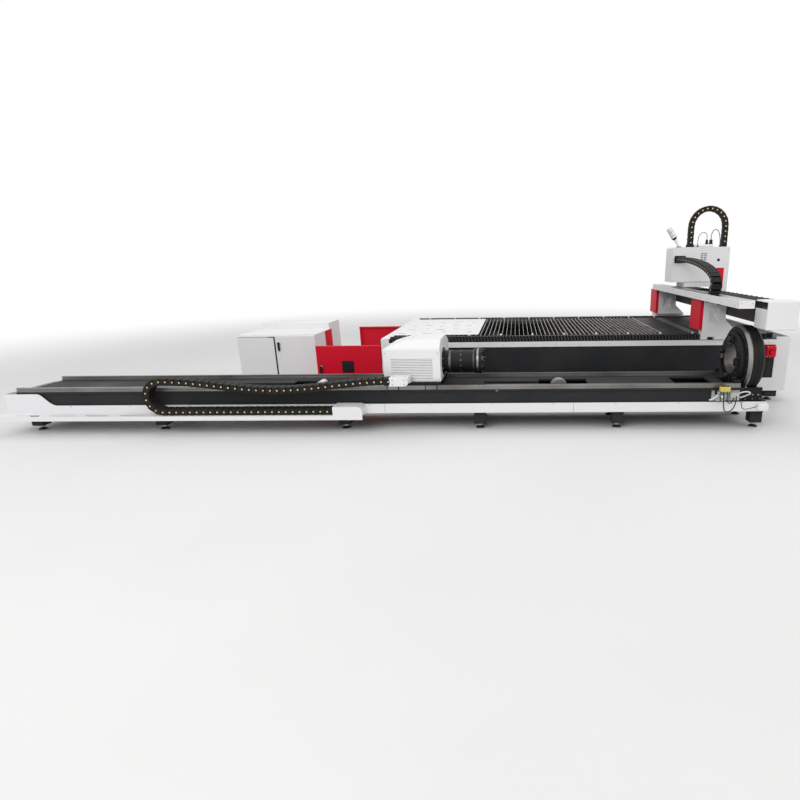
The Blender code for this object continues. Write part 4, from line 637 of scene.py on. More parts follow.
# trim that repeats is made from tables: under each body, its kinds of trim, and one row for each piece by name
def putScrews(name, body, look, facing, radius, high, points, steps=6):
    dress(screwHeads(name, points, *facings[facing], radius, high, steps), body, look)


def putBoxes(name, body, look, edge, boxes, segments=1):
    dress(join(name, [boxPiece("part", low, high, edge, segments) for low, high in boxes]), body, look)


def putTurned(name, body, look, axis, steps, centres, profile):
    dress(join(name, [turnedPiece("part", centre, axis, profile, steps) for centre in centres]), body, look)


def putRing(name, body, look, axis, steps, centre, profile):
    dress(ringPiece(name, centre, axis, profile, steps), body, look)


def putHose(name, body, look, radius, *route):
    dress(hosePiece(name, route, radius, 8), body, look)


def dressTrim(trim):
    for body, kinds in trim.items():
        for kind, rows in kinds.items():
            for name, row in rows.items():
                makers[kind](name, body, *row)


makers = {"screws": putScrews, "boxes": putBoxes, "turned": putTurned, "rings": putRing, "hoses": putHose}
facings = {"+x": (0, 1), "-x": (0, -1), "+y": (1, 1), "-y": (1, -1), "+z": (2, 1)}


def circlePoints(axis, centre, radius, at, count, start=0.0):
    points = []
    for n in range(count):
        turn = radians(start) + 2 * pi * n / count
        point = [centre[0] + radius * cos(turn), centre[1] + radius * sin(turn)]
        point.insert(axis, at)
        points.append(tuple(point))
    return points


def span(low, high, count):
    return [low + (high - low) * n / (count - 1) for n in range(count)]


# a point at every mix of the given places, and a box at every mix of the given ranges
def grid(*rows):
    return list(product(*(row if isinstance(row, (tuple, list)) else (row,) for row in rows)))


def blocks(*rows):
    return [tuple(zip(*ends)) for ends in product(*rows)]


def around(half, *middles):
    return [(middle - half, middle + half) for middle in middles]


# four boxes between an outer and an inner rectangle, given as left, right, low, top
def borderBoxes(axis, ends, outer, inner):
    left, right, low, top = outer
    innerLeft, innerRight, innerLow, innerTop = inner
    strips = [[(left, innerLeft), (low, top)], [(innerRight, right), (low, top)],
        [(innerLeft, innerRight), (low, innerLow)], [(innerLeft, innerRight), (innerTop, top)]]
    for strip in strips:
        strip.insert(axis, ends)
    return [tuple(zip(*strip)) for strip in strips]


# a profile given from a face outwards
def outFrom(face, out, profile):
    return [(radius, face + out * at) for radius, at in profile]


# blades with their upper outer edge cut back, along x on axis 1 and along y on axis 0
def louvreBlades(axis, ends, levels, face, out, high, cut, back=0.0):
    blades = []
    for z in levels:
        def outerTop(a, b):
            flat = abs(a[axis] - face - out) < 1e-5 and abs(b[axis] - face - out) < 1e-5
            return flat and min(a.z, b.z) > z + high / 2
        sides = [ends, (z, z + high)]
        sides.insert(axis, sorted((face + back, face + out)))
        blades.append(bevelEdges(boxPiece("blade", *zip(*sides)), outerTop, cut, 1))
    return blades


toothColumns = (0, 0.22, 0.5, 0.72)


# one long row of teeth: a grid strip whose columns rise and fall, given a thickness
def toothStrip(name, start, end, pitch, front, rear, low, top, deep):
    teeth = int((end - start) / pitch)
    bpy.ops.object.select_all(action="DESELECT")
    bpy.ops.mesh.primitive_grid_add(x_subdivisions=4 * teeth, y_subdivisions=1, size=1)
    strip = bpy.context.object
    strip.name = name
    for spot in strip.data.vertices:
        column = round((spot.co.x + 0.5) * 4 * teeth)
        high = top if column % 4 < 2 else top - deep
        place = start + (column // 4 + toothColumns[column % 4]) * pitch
        spot.co = (place, front if spot.co.y < 0 else rear, high)
    return thicken(strip, top - deep - low, -1)


# tube bed: rail screws and stops, rack, skirt seams, feet
tubeBedSet = {
    "rails": (-0.057, 0.472), "rack": (-0.06, 6.84, 0.0126, -0.037, -0.017, 0.4083, 0.432, 0.0075),
    "feet": grid((0.0, 1.2723, 3.1204, 4.4567, 5.793, 7.108), (0.0, 0.415)),
    "bedFeet": grid([3.29 + 4.54 * share for share in (0.03, 0.27, 0.5, 0.73, 0.97)], (0.985, 2.865)),
    "pad": [(0.040, 0.0008), (0.0435, 0.002), (0.0435, 0.0085), (0.0424, 0.0095), (0.0424, 0.0005)],
}
feet = tubeBedSet["feet"] + tubeBedSet["bedFeet"]
dressTrim({"machine_frame": {
    "screws": {
        "railScrews": ("darkSteel", "+z", 0.0075, 0.0005,
            grid([-0.10 + 0.12 * (n + 0.5) for n in range(58)], tubeBedSet["rails"], 0.449), 8),
        "skirtScrews": ("zincScrew", "-y", 0.006, 0.003, grid(span(0.42, 6.95, 12), -0.08, 0.262)),
        "webScrews": ("blackPaint", "-y", 0.008, 0.005, grid(span(0.55, 6.55, 11), -0.062, 0.376)),
        "footNuts": ("zincScrew", "+z", 0.024, 0.013, [(*foot, 0.034) for foot in feet]),
        "footLockNuts": ("zincScrew", "+z", 0.022, 0.006, [(*foot, 0.0485) for foot in feet]),
    },
    "boxes": {
        "railStops": ("blackPaint", 0.003,
            blocks([(6.876, 6.916)], around(0.016, *tubeBedSet["rails"]), [(0.4497, 0.4833)]), 2),
        "railStopPads": ("rubber", 0.003,
            blocks([(6.864, 6.8758)], around(0.012, *tubeBedSet["rails"]), [(0.4553, 0.4773)]), 2),
        "skirtSeams": ("charcoalPaint", 0, blocks(around(0.001, 1.72, 3.54, 5.36), around(0.0004, -0.08),
            [(0.1785, 0.2715)])),
    },
    "turned": {
        "edgeKnob": ("darkSteel", 1, 16, [(4.63, 0.399)], outFrom(-0.08, -1, [
            (0.004, -0.001), (0.004, 0.006), (0.014, 0.0065), (0.015, 0.014), (0.010, 0.017)])),
    },
}})
dress(toothStrip("driveRack", *tubeBedSet["rack"]), "machine_frame", "railSteel", 0)
footPads = copies("footPads", ringPiece("pad", (0, 0), 2, tubeBedSet["pad"], 20),
    [Matrix.Translation((*foot, 0)) for foot in feet])
dress(footPads, "machine_frame", "zincScrew")
print("tube bed trimmed")


# rear chuck: louvres, seams and screws of the hood, rail blocks, rings and screws of the drum
chuckAxis = (0.21, 0.632)
hoodSet = {
    "levels": [0.512 + 0.0158 * n for n in range(13)], "rearLevels": [0.56 + 0.02 * n for n in range(8)],
    "blades": {"ends": (3.615, 4.02), "face": -0.035, "out": -0.0045, "high": 0.009, "cut": 0.00405},
    "rearBlades": {"ends": (3.66, 3.98), "face": 0.615, "out": 0.005, "high": 0.011, "cut": 0.0045},
}
plugSet = {"reach": 0.1065, "at": 4.27, "count": 12, "start": 15,
    "profile": [(0.009, -0.002), (0.009, 0.0016), (0.007, 0.0024), (0.004, 0.0016)]}


def bandProfile(radius, low, high):
    return [(radius - 0.006, low), (radius - 0.001, low), (radius, low + 0.001), (radius, high - 0.001),
        (radius - 0.001, high), (radius - 0.006, high)]


dressTrim({
    "rear_chuck": {
        "screws": {
            "hoodFrontScrews": ("zincScrew", "-y", 0.006, 0.003, grid((3.565, 3.8175, 4.07), -0.035, 0.50)
                + grid((3.565, 4.07), -0.035, 0.755)),
            "hoodRearScrews": ("zincScrew", "+y", 0.006, 0.003, grid((3.565, 4.07), 0.615, (0.50, 0.74))),
            "carriageScrews": ("zincScrew", "+z", 0.0075, 0.006, grid(span(3.57, 4.065, 8), -0.052, 0.4796)),
            "bracketScrews": ("zincScrew", "-y", 0.0065, 0.004, grid((3.66, 3.77), -0.205, (0.492, 0.533))),
            "bracketTopScrews": ("zincScrew", "+z", 0.0065, 0.004, grid((3.66, 3.77), -0.14, 0.5516)),
            "hoodFlangeScrews": ("zincScrew", "+x", 0.006, 0.005, circlePoints(0, chuckAxis, 0.1265, 4.099, 8, 22.5)),
        },
        "boxes": {
            # painted shade: dark strips under each louvre blade of the hood
            "hoodSlits": ("charcoalPaint", 0, blocks([(3.619, 4.016)], [(-0.0356, -0.0346)],
                [(z - 0.0040, z - 0.0004) for z in hoodSet["levels"]])),
            "hoodSeams": ("charcoalPaint", 0, [((4.0896, 0.44, 0.482), (4.0904, 0.4415, 0.86)),
                ((3.80, 0.06, 0.8715), (3.8012, 0.41, 0.8724))]),
            "carriageBlocks": ("railSteel", 0.001, blocks(around(0.05, 3.63, 4.0),
                [(-0.0795, -0.0746), (0.4896, 0.4945)], [(0.412, 0.4494)])),
            "carriageSeals": ("rubber", 0.0005, blocks(around(0.004, 3.5755, 3.6845, 3.9455, 4.0545),
                [(-0.0797, -0.0744), (0.4894, 0.4947)], [(0.4115, 0.4495)])),
        },
        "rings": {
            "hoodFlange": ("blackPaint", 0, 48, chuckAxis, [(0.1115, 4.0903), (0.138, 4.0903), (0.138, 4.097),
                (0.135, 4.099), (0.1115, 4.099)]),
        },
    },
    "rear_chuck_drum": {
        "screws": {
            "noseScrews": ("zincScrew", "+x", 0.0055, 0.004, circlePoints(0, chuckAxis, 0.107, 4.477, 8, 22.5)),
        },
        "rings": {
            "drumBand": ("darkSteel", 0, 48, chuckAxis, bandProfile(0.1088, 4.150, 4.172)),
            "drumNeckBand": ("darkSteel", 0, 48, chuckAxis, bandProfile(0.1125, 4.3905, 4.4015)),
            "noseBand": ("wornSteel", 0, 48, chuckAxis, bandProfile(0.1252, 4.428, 4.446)),
            "noseRing": ("turnedSteel", 0, 40, chuckAxis, [(0.047, 4.4772), (0.066, 4.4772), (0.066, 4.4795),
                (0.064, 4.481), (0.047, 4.481)]),
        },
    },
})


def makeHoodLouvres():
    louvreSets = {"hoodLouvres": ("levels", "blades"), "hoodRearLouvres": ("rearLevels", "rearBlades")}
    for name, (levels, blades) in louvreSets.items():
        louvres = louvreBlades(1, levels=hoodSet[levels], **hoodSet[blades])
        dress(join(name, louvres), "rear_chuck", "whitePaint")


def makeDrumPlugs():
    p = plugSet
    plugs = []
    for n, place in enumerate(circlePoints(0, chuckAxis, p["reach"], p["at"], p["count"], p["start"])):
        turn = radians(p["start"] + 360 / p["count"] * n) - pi / 2
        plug = turnedPiece("plug", (0, 0), 2, p["profile"], 10)
        plug.data.transform(Matrix.Translation(place) @ Matrix.Rotation(turn, 4, "X"))
        plugs.append(plug)
    dress(join("drumPlugs", plugs), "rear_chuck_drum", "darkSteel")


makeHoodLouvres()
makeDrumPlugs()
print("rear chuck dressed")


# front chuck: machined rim and bore, jaw guides, screws, air fittings and base bolts
frontChuckSet = {"face": 6.9097, "house": 6.957, "right": 7.107}
house, right, face = (frontChuckSet[part] for part in ("house", "right", "face"))
jawSet = {"guide": {"across": (0.0365, 0.056), "up": (0.158, 0.2355), "deep": (0.014, 0.0004)},
    "guideScrews": {"across": 0.0462, "levels": (0.170, 0.197, 0.224)},
    "jawScrews": {"deep": 0.0353, "across": 0.018, "level": 0.172},
    "pad": {"half": 0.024, "deep": (0.033, 0.006), "up": (0.1500, 0.1549)}}
dressTrim({
    "machine_frame": {
        "rings": {
            "housingRim": ("wornSteel", 0, 96, chuckAxis, outFrom(house, 1, [
                (0.3080, -0.0004), (0.3092, -0.0005), (0.3293, 0.0196), (0.3293, 0.0320), (0.3270, 0.0320),
                (0.3270, 0.0210), (0.3080, 0.0015)])),
            "housingFaceRing": ("blackPaint", 0, 96, chuckAxis, outFrom(house, 1, [
                (0.2620, -0.0065), (0.2960, -0.0065), (0.2985, -0.0040), (0.2985, -0.0003), (0.2620, -0.0003)])),
            "housingBackRing": ("blackPaint", 0, 72, chuckAxis, outFrom(right, 1, [
                (0.2420, 0.0003), (0.2900, 0.0003), (0.2900, 0.010), (0.2870, 0.013), (0.2420, 0.013)])),
            "housingBand": ("blackPaint", 0, 96, chuckAxis, outFrom(house, 1, [
                (0.3225, 0.088), (0.3252, 0.089), (0.3262, 0.092), (0.3262, 0.104), (0.3252, 0.107),
                (0.3225, 0.108)])),
        },
        "screws": {
            "housingScrews": ("darkSteel", "-x", 0.0065, 0.004,
                circlePoints(0, chuckAxis, 0.281, house - 0.0065, 16, 11.25)),
            "housingBackScrews": ("darkSteel", "+x", 0.008, 0.006,
                circlePoints(0, chuckAxis, 0.266, right + 0.013, 12, 15)),
            "chuckBaseBolts": ("zincScrew", "+z", 0.010, 0.008, grid((6.985, 7.11), (-0.035, 0.455), 0.40)),
            "chuckBaseSideBolts": ("darkSteel", "-y", 0.009, 0.007, grid(span(6.98, 7.12, 3), -0.05, 0.292)),
        },
        "turned": {
            f"airPort{n + 1}": (("blackNylon", "zincScrew")[n % 2], 1, 10, [(7.02 + 0.026 * n, 0.335)], [
                (0.0065, -0.0497), (0.0065, -0.056), (0.0050, -0.0563), (0.0050, -0.064), (0.0038, -0.0645)])
            for n in range(4)},
    },
    "front_chuck_drum": {
        "rings": {
            "boreLiner": ("wornSteel", 0, 72, chuckAxis, [(0.1462, face + 0.001), (0.1497, face + 0.001),
                (0.1497, right - 0.002), (0.1462, right - 0.002)]),
        },
        "screws": {
            "drumFaceScrews": ("darkSteel", "-x", 0.0065, 0.005,
                [point for reach, start in ((0.200, 33), (0.200, 57), (0.225, 45))
                    for point in circlePoints(0, chuckAxis, reach, face, 4, start)]),
        },
    },
})


# each jaw slides between two guides, and has two screws and a worn pad of its own
def makeJawTrim():
    guideBox, guideScrew, jawScrew, padBox = (jawSet[part] for part in ("guide", "guideScrews", "jawScrews", "pad"))
    guides, screws = [], []
    for n in range(4):
        turn = Matrix.Translation((0, *chuckAxis)) @ Matrix.Rotation(n * pi / 2, 4, "X")
        body = f"front_jaw_{n + 1}"
        for side in (1, -1):
            deep = [face - at for at in guideBox["deep"]]
            across = sorted(side * at for at in guideBox["across"])
            guide = boxPiece("guide", *zip(deep, across, guideBox["up"]), 0.002, 1)
            guide.data.transform(turn)
            guides.append(guide)
            screws += [turn @ Vector((face - guideBox["deep"][0], side * guideScrew["across"], z))
                for z in guideScrew["levels"]]
        points = [turn @ Vector((face - jawScrew["deep"], side * jawScrew["across"], jawScrew["level"]))
            for side in (1, -1)]
        putScrews(f"jawScrews{n + 1}", body, "darkSteel", "-x", 0.006, 0.004, points)
        deep = [face - at for at in padBox["deep"]]
        pad = boxPiece("jawPad", *zip(deep, (-padBox["half"], padBox["half"]), padBox["up"]), 0.001, 1)
        pad.data.transform(turn)
        dress(pad, body, "wornSteel")
    dress(join("jawGuides", guides), "front_chuck_drum", "blackPaint")
    putScrews("guideScrews", "front_chuck_drum", "darkSteel", "-x", 0.0048, 0.003, screws)


makeJawTrim()
print("front chuck dressed")


# sheet bed: ball units, folded rail guard, plate bands, screws, seals and the marks of cut shapes
sheetBedSet = {
    "balls": grid([3.56 + 0.36 * n for n in range(10)], (1.02, 2.722), 0.7116),
    "ball": [(0.017, 0), (0.017, 0.005), (0.012, 0.007), (0.012, 0.048), (0.0150, 0.050), (0.0150, 0.060),
        (0.0120, 0.0615), (0.0118, 0.065), (0.0095, 0.0695), (0.0055, 0.0725), (0.0015, 0.0735)],
    "ribs": {"left": 3.40, "right": 7.57, "pitch": 0.036, "face": 0.925, "out": 0.0026, "low": 0.7135, "top": 0.7675,
        "lean": 0.017, "long": 0.014, "seat": 0.0002, "edge": 0.0012},
    "panelSeams": (4.46, 5.54, 6.62), "plate": (1.055, 2.645),
}
panelSeams = sheetBedSet["panelSeams"]
dressTrim({"machine_frame": {
    "screws": {
        "bedRailScrews": ("darkSteel", "+z", 0.008, 0.0005, grid(span(3.46, 7.52, 34), (0.955, 2.825), 0.7689), 8),
        "plateScrews": ("darkSteel", "+z", 0.007, 0.003,
            grid((6.43, 6.71, 6.98, 7.33, 7.66), (1.09, 1.85, 2.61), 0.762)),
        "stripScrews": ("zincScrew", "-y", 0.0055, 0.0025, grid(span(3.5, 7.6, 8), 0.90, 0.678)),
        "panelScrews": ("blackPaint", "-y", 0.006, 0.003,
            grid([x + side for x in panelSeams for side in (0.03, -0.03)], 0.9097, (0.18, 0.40, 0.61))),
        "leftFlangeScrews": ("zincScrew", "+z", 0.006, 0.003, grid(3.335, span(0.96, 2.89, 7), 0.755)),
        "coverScrews": ("whitePaint", "-y", 0.006, 0.003, grid(3.335, 0.90, (0.16, 0.44, 0.70))
            + grid((7.70, 7.81), 0.90, (0.32, 0.52, 0.715)) + [(7.56, 0.90, 0.20), (7.80, 0.90, 0.15)]),
        "rightFlangeScrews": ("zincScrew", "+z", 0.004, 0.002, grid((7.71, 7.80), 0.91, 0.735)),
        "rearBeamScrews": ("blackPaint", "+y", 0.010, 0.007, grid(span(3.36, 7.64, 14), 2.95, (0.38, 0.66))),
        "stopScrews": ("zincScrew", "-y", 0.004, 0.002, grid((7.6615, 7.5735), 0.849, (0.6295, 0.5255))),
    },
    "boxes": {
        "plateBands": ("bandSteel", 0.0008, blocks([(6.78, 6.88)], [sheetBedSet["plate"]], [(0.7623, 0.7642)])),
        "plateEdge": ("brightSteel", 0.0008, blocks([(6.4660, 6.4740)], [sheetBedSet["plate"]], [(0.7623, 0.7640)])),
        "panelSeams": ("blackPaint", 0, blocks(around(0.001, *panelSeams), [(0.9093, 0.9100)], [(0.141, 0.649)])),
        "openingSeals": ("rubber", 0.001, [
            box for front, rear in ((0.96, 1.635), (1.915, 2.59))
            for box in borderBoxes(0, (3.2862, 3.2898), (front - 0.014, rear + 0.014, 0.161, 0.664),
                (front - 0.002, rear + 0.002, 0.173, 0.652))]),
    },
    "rings": {
        "stopCollar": ("blackPaint", 1, 28, (7.6175, 0.5775), outFrom(0.849, -1, [
            (0.0245, 0.0003), (0.0285, 0.0003), (0.0285, 0.0025), (0.0275, 0.0040), (0.0245, 0.0040)])),
    },
    "turned": {
        "stopGland": ("blackNylon", 2, 12, [(7.6175, 0.879)], [(0.011, 0.5148), (0.011, 0.507), (0.009, 0.506),
            (0.009, 0.498), (0.006, 0.497)]),
    },
    "hoses": {
        "stopWire": ("rubber", 0.0035, (7.6175, 0.879, 0.500), (7.6175, 0.879, 0.44), (7.615, 0.895, 0.38),
            (7.60, 0.903, 0.33), (7.60, 0.9055, 0.28), (7.60, 0.908, 0.24)),
    },
}})


def makeBallUnits():
    b = sheetBedSet
    model = turnedPiece("ballModel", (0, 0), 2, b["ball"], 12)
    places = [Matrix.Translation(place) for place in b["balls"]]
    dress(copies("ballUnits", model, places), "machine_frame", "brightSteel")


def makeRailGuard():
    r = sheetBedSet["ribs"]
    count = int((r["right"] - r["left"] - r["lean"]) / r["pitch"])
    rib = boxPiece("ribModel", (0, r["face"] - r["out"], r["low"]), (r["long"], r["face"] - r["seat"], r["top"]),
        r["edge"], 1)
    for spot in rib.data.vertices:
        spot.co.x += r["lean"] * (r["top"] - spot.co.z) / (r["top"] - r["low"])
    places = [Matrix.Translation((r["left"] + r["pitch"] * n, 0, 0)) for n in range(count)]
    dress(copies("railGuardRibs", rib, places), "machine_frame", "umberPaint")


# marks cut in the loaded sheet: place from the sheet's corner, length and width, with every third one round
cutSet = {
    "corner": (3.40, 1.09), "levels": (0.7731, 0.77345), "longer": 1.15, "wider": 1.7,
    "round": [(0.020, 0.77315), (0.024, 0.77315), (0.024, 0.77345), (0.020, 0.77345)],
    "shapes": (
        (0.06, 0.12, 0.07, 0.012), (0.21, 0.16, 0.05, 0.010), (0.37, 0.10, 0.09, 0.010), (0.55, 0.22, 0.05, 0.014),
        (0.71, 0.12, 0.08, 0.010), (0.86, 0.20, 0.05, 0.012), (0.12, 0.42, 0.09, 0.012), (0.31, 0.52, 0.05, 0.010),
        (0.48, 0.44, 0.08, 0.014), (0.66, 0.55, 0.06, 0.010), (0.82, 0.46, 0.07, 0.012), (0.10, 0.78, 0.06, 0.010),
        (0.28, 0.84, 0.08, 0.012), (0.45, 0.76, 0.05, 0.010), (0.63, 0.86, 0.08, 0.014), (0.80, 0.78, 0.06, 0.010),
        (0.20, 1.14, 0.07, 0.012), (0.43, 1.10, 0.05, 0.010), (0.62, 1.20, 0.07, 0.012), (0.84, 1.12, 0.05, 0.012)),
}


def makeSheetMarks():
    c = cutSet
    slots, rings = [], []
    for n, (x, y, long, wide) in enumerate(c["shapes"]):
        x, y = c["corner"][0] + x, c["corner"][1] + y
        if n % 3 == 1:
            rings.append(ringPiece("cutRing", (x, y), 2, c["round"], 20))
        else:
            slots += blocks(around(long * c["longer"] / 2, x), around(wide * c["wider"] / 2, y), [c["levels"]])
    slots = [boxPiece("cutSlot", low, high) for low, high in slots]
    dress(join("sheetCuts", slots + rings), "machine_frame", "scorched")


makeBallUnits()
makeRailGuard()
makeSheetMarks()
print("sheet bed dressed")


# red doors: dark vent covers, hems, latch rings
doorSet = {
    "front": {"body": "front_door", "outer": 0.90, "inner": 0.93, "out": -1},
    "rear": {"body": "rear_door", "outer": 2.65, "inner": 2.62, "out": 1},
    "hem": ((2.5347, 3.2677, 0.145, 0.68), (2.5567, 3.2497, 0.165, 0.66)),
    "vent": {"ends": (2.828, 2.956), "levels": span(0.384, 0.486, 9), "high": 0.010, "cut": 0.0036, "seat": 0.0022,
        "out": 0.004, "plate": ((2.823, 2.961), (0.371, 0.509)),
        "plateDepths": ((0.0003, 0.0024), (-0.0043, -0.009))},
    "hemDepths": (0.0003, 0.0024), "latch": (2.5797, 0.4393),
    "ring": [(0.0112, 0.0003), (0.0175, 0.0003), (0.0175, 0.0023), (0.0160, 0.0035), (0.0112, 0.0035)],
}


def makeDoorTrim(side):
    body, outer, inner, out = (doorSet[side][part] for part in ("body", "outer", "inner", "out"))
    v = doorSet["vent"]
    blades = louvreBlades(1, v["ends"], v["levels"], outer + out * v["seat"], out * v["out"], v["high"], v["cut"])
    dress(join(side + "DoorVent", blades), body, "blackNylon")
    plates = [sorted(outer + out * at for at in depths) for depths in v["plateDepths"]]
    boxes = blocks([v["plate"][0]], plates, [v["plate"][1]])
    putBoxes(side + "DoorVentPlates", body, "blackNylon", 0.001, boxes)
    ends = sorted(inner - out * at for at in doorSet["hemDepths"])
    putBoxes(side + "DoorHems", body, "redPaint", 0.0008, borderBoxes(1, ends, *doorSet["hem"]))
    putRing(side + "LatchRing", body, "zincScrew", 1, 20, doorSet["latch"], outFrom(outer, out, doorSet["ring"]))


makeDoorTrim("front")
makeDoorTrim("rear")
print("doors dressed")


# cabinet: red bands, seal between the leaves, louvres, fans, lock and glands
cabinetSet = {
    "sides": ((2.38, 1), (1.50, -1)), "levels": [0.24 + 0.024 * n for n in range(9)], "rear": 2.22,
    "blades": {"ends": (1.90, 2.14), "lift": 0.006, "out": 0.006, "high": 0.011, "cut": 0.005, "seat": 0.0002},
    "fans": {"left": (1.72, 0.52), "right": (2.16, 0.52)},
    "fan": {"rings": (0.018, 0.036, 0.054, 0.070), "wide": 0.0035, "deep": (0.004, 0.0075),
        "barHalf": (0.073, 0.0015), "barDeep": (0.0003, 0.0045),
        "well": [(0.072, 0.0002), (0.072, 0.0012), (0.068, 0.0016)]},
}
dressTrim({
    "machine_frame": {
        "boxes": {
            "cabinetBands": ("redPaint", 0.0005,
                blocks([(2.4103, 2.4118), (1.4682, 1.4697)], [(1.575, 1.817)], [(0.082, 0.763)])),
            "cabinetRainEdge": ("whitePaint", 0.0015, [((1.474, 1.2425, 0.7652), (2.406, 1.2485, 0.769))]),
            # painted shade: dark strips under each louvre blade on the cabinet's sides
            "cabinetSlits": ("charcoalPaint", 0, [
                box for face, out in cabinetSet["sides"]
                for box in blocks([sorted((face - out * 0.0002, face + out * 0.0006))], [(1.904, 2.136)],
                    [(z + 0.001, z + 0.0062) for z in cabinetSet["levels"]])]),
        },
        "screws": {
            "cabinetBackScrews": ("zincScrew", "+y", 0.006, 0.003,
                grid((1.53, 1.94, 2.35), 2.22, (0.12, 0.46, 0.80))),
        },
        "turned": {
            "cabinetGlands": ("blackNylon", 1, 12, [(x, 0.16) for x in span(1.66, 2.22, 6)], outFrom(2.22, 1, [
                (0.016, 0.0002), (0.016, 0.008), (0.013, 0.009), (0.013, 0.020), (0.010, 0.024)])),
        },
    },
    "cabinet_door_left": {
        "boxes": {
            "leafSeal": ("blackNylon", 0.0005, [((1.9115, 1.2185, 0.10), (1.9275, 1.2197, 0.747)),
                ((1.845, 1.2185, 0.7370), (1.9115, 1.2197, 0.747))]),
            "leafTopLine": ("charcoalPaint", 0, [((1.49, 1.2194, 0.7425), (1.845, 1.2198, 0.7465))]),
        },
    },
    "cabinet_door_right": {
        "rings": {
            "handleRing": ("zincScrew", 1, 24, (1.97, 0.669), outFrom(1.22, -1, [
                (0.0112, 0.0003), (0.0200, 0.0003), (0.0200, 0.0028), (0.0180, 0.0041), (0.0112, 0.0041)])),
        },
        "turned": {
            "cabinetLock": ("zincScrew", 1, 20, [(1.97, 0.584)], outFrom(1.22, -1, [
                (0.011, -0.001), (0.011, 0.003), (0.009, 0.0045), (0.003, 0.0045)])),
        },
    },
})


def makeCabinetLouvres():
    v = cabinetSet["blades"]
    blades = []
    for face, out in cabinetSet["sides"]:
        levels = [z + v["lift"] for z in cabinetSet["levels"]]
        blades += louvreBlades(0, v["ends"], levels, face, out * v["out"], v["high"], v["cut"], out * v["seat"])
    dress(join("cabinetLouvres", blades), "machine_frame", "whitePaint")


def makeFans():
    rear, f = cabinetSet["rear"], cabinetSet["fan"]
    near, far = f["deep"]
    for n, (x, z) in enumerate(cabinetSet["fans"].values()):
        guard = []
        for radius in f["rings"]:
            profile = [(radius, near), (radius + f["wide"], near), (radius + f["wide"], far), (radius, far)]
            guard.append(ringPiece("fanRing", (x, z), 1, outFrom(rear, 1, profile), 28))
        for wide, high in (f["barHalf"], f["barHalf"][::-1]):
            low, top = (rear + at for at in f["barDeep"])
            guard.append(boxPiece("fanBar", (x - wide, low, z - high), (x + wide, top, z + high)))
        dress(join(f"fanGuard{n + 1}", guard), "machine_frame", "zincScrew")
        putTurned(f"fanWell{n + 1}", "machine_frame", "blackNylon", 1, 28, [(x, z)], outFrom(rear, 1, f["well"]))


makeCabinetLouvres()
makeFans()
print("cabinet dressed")


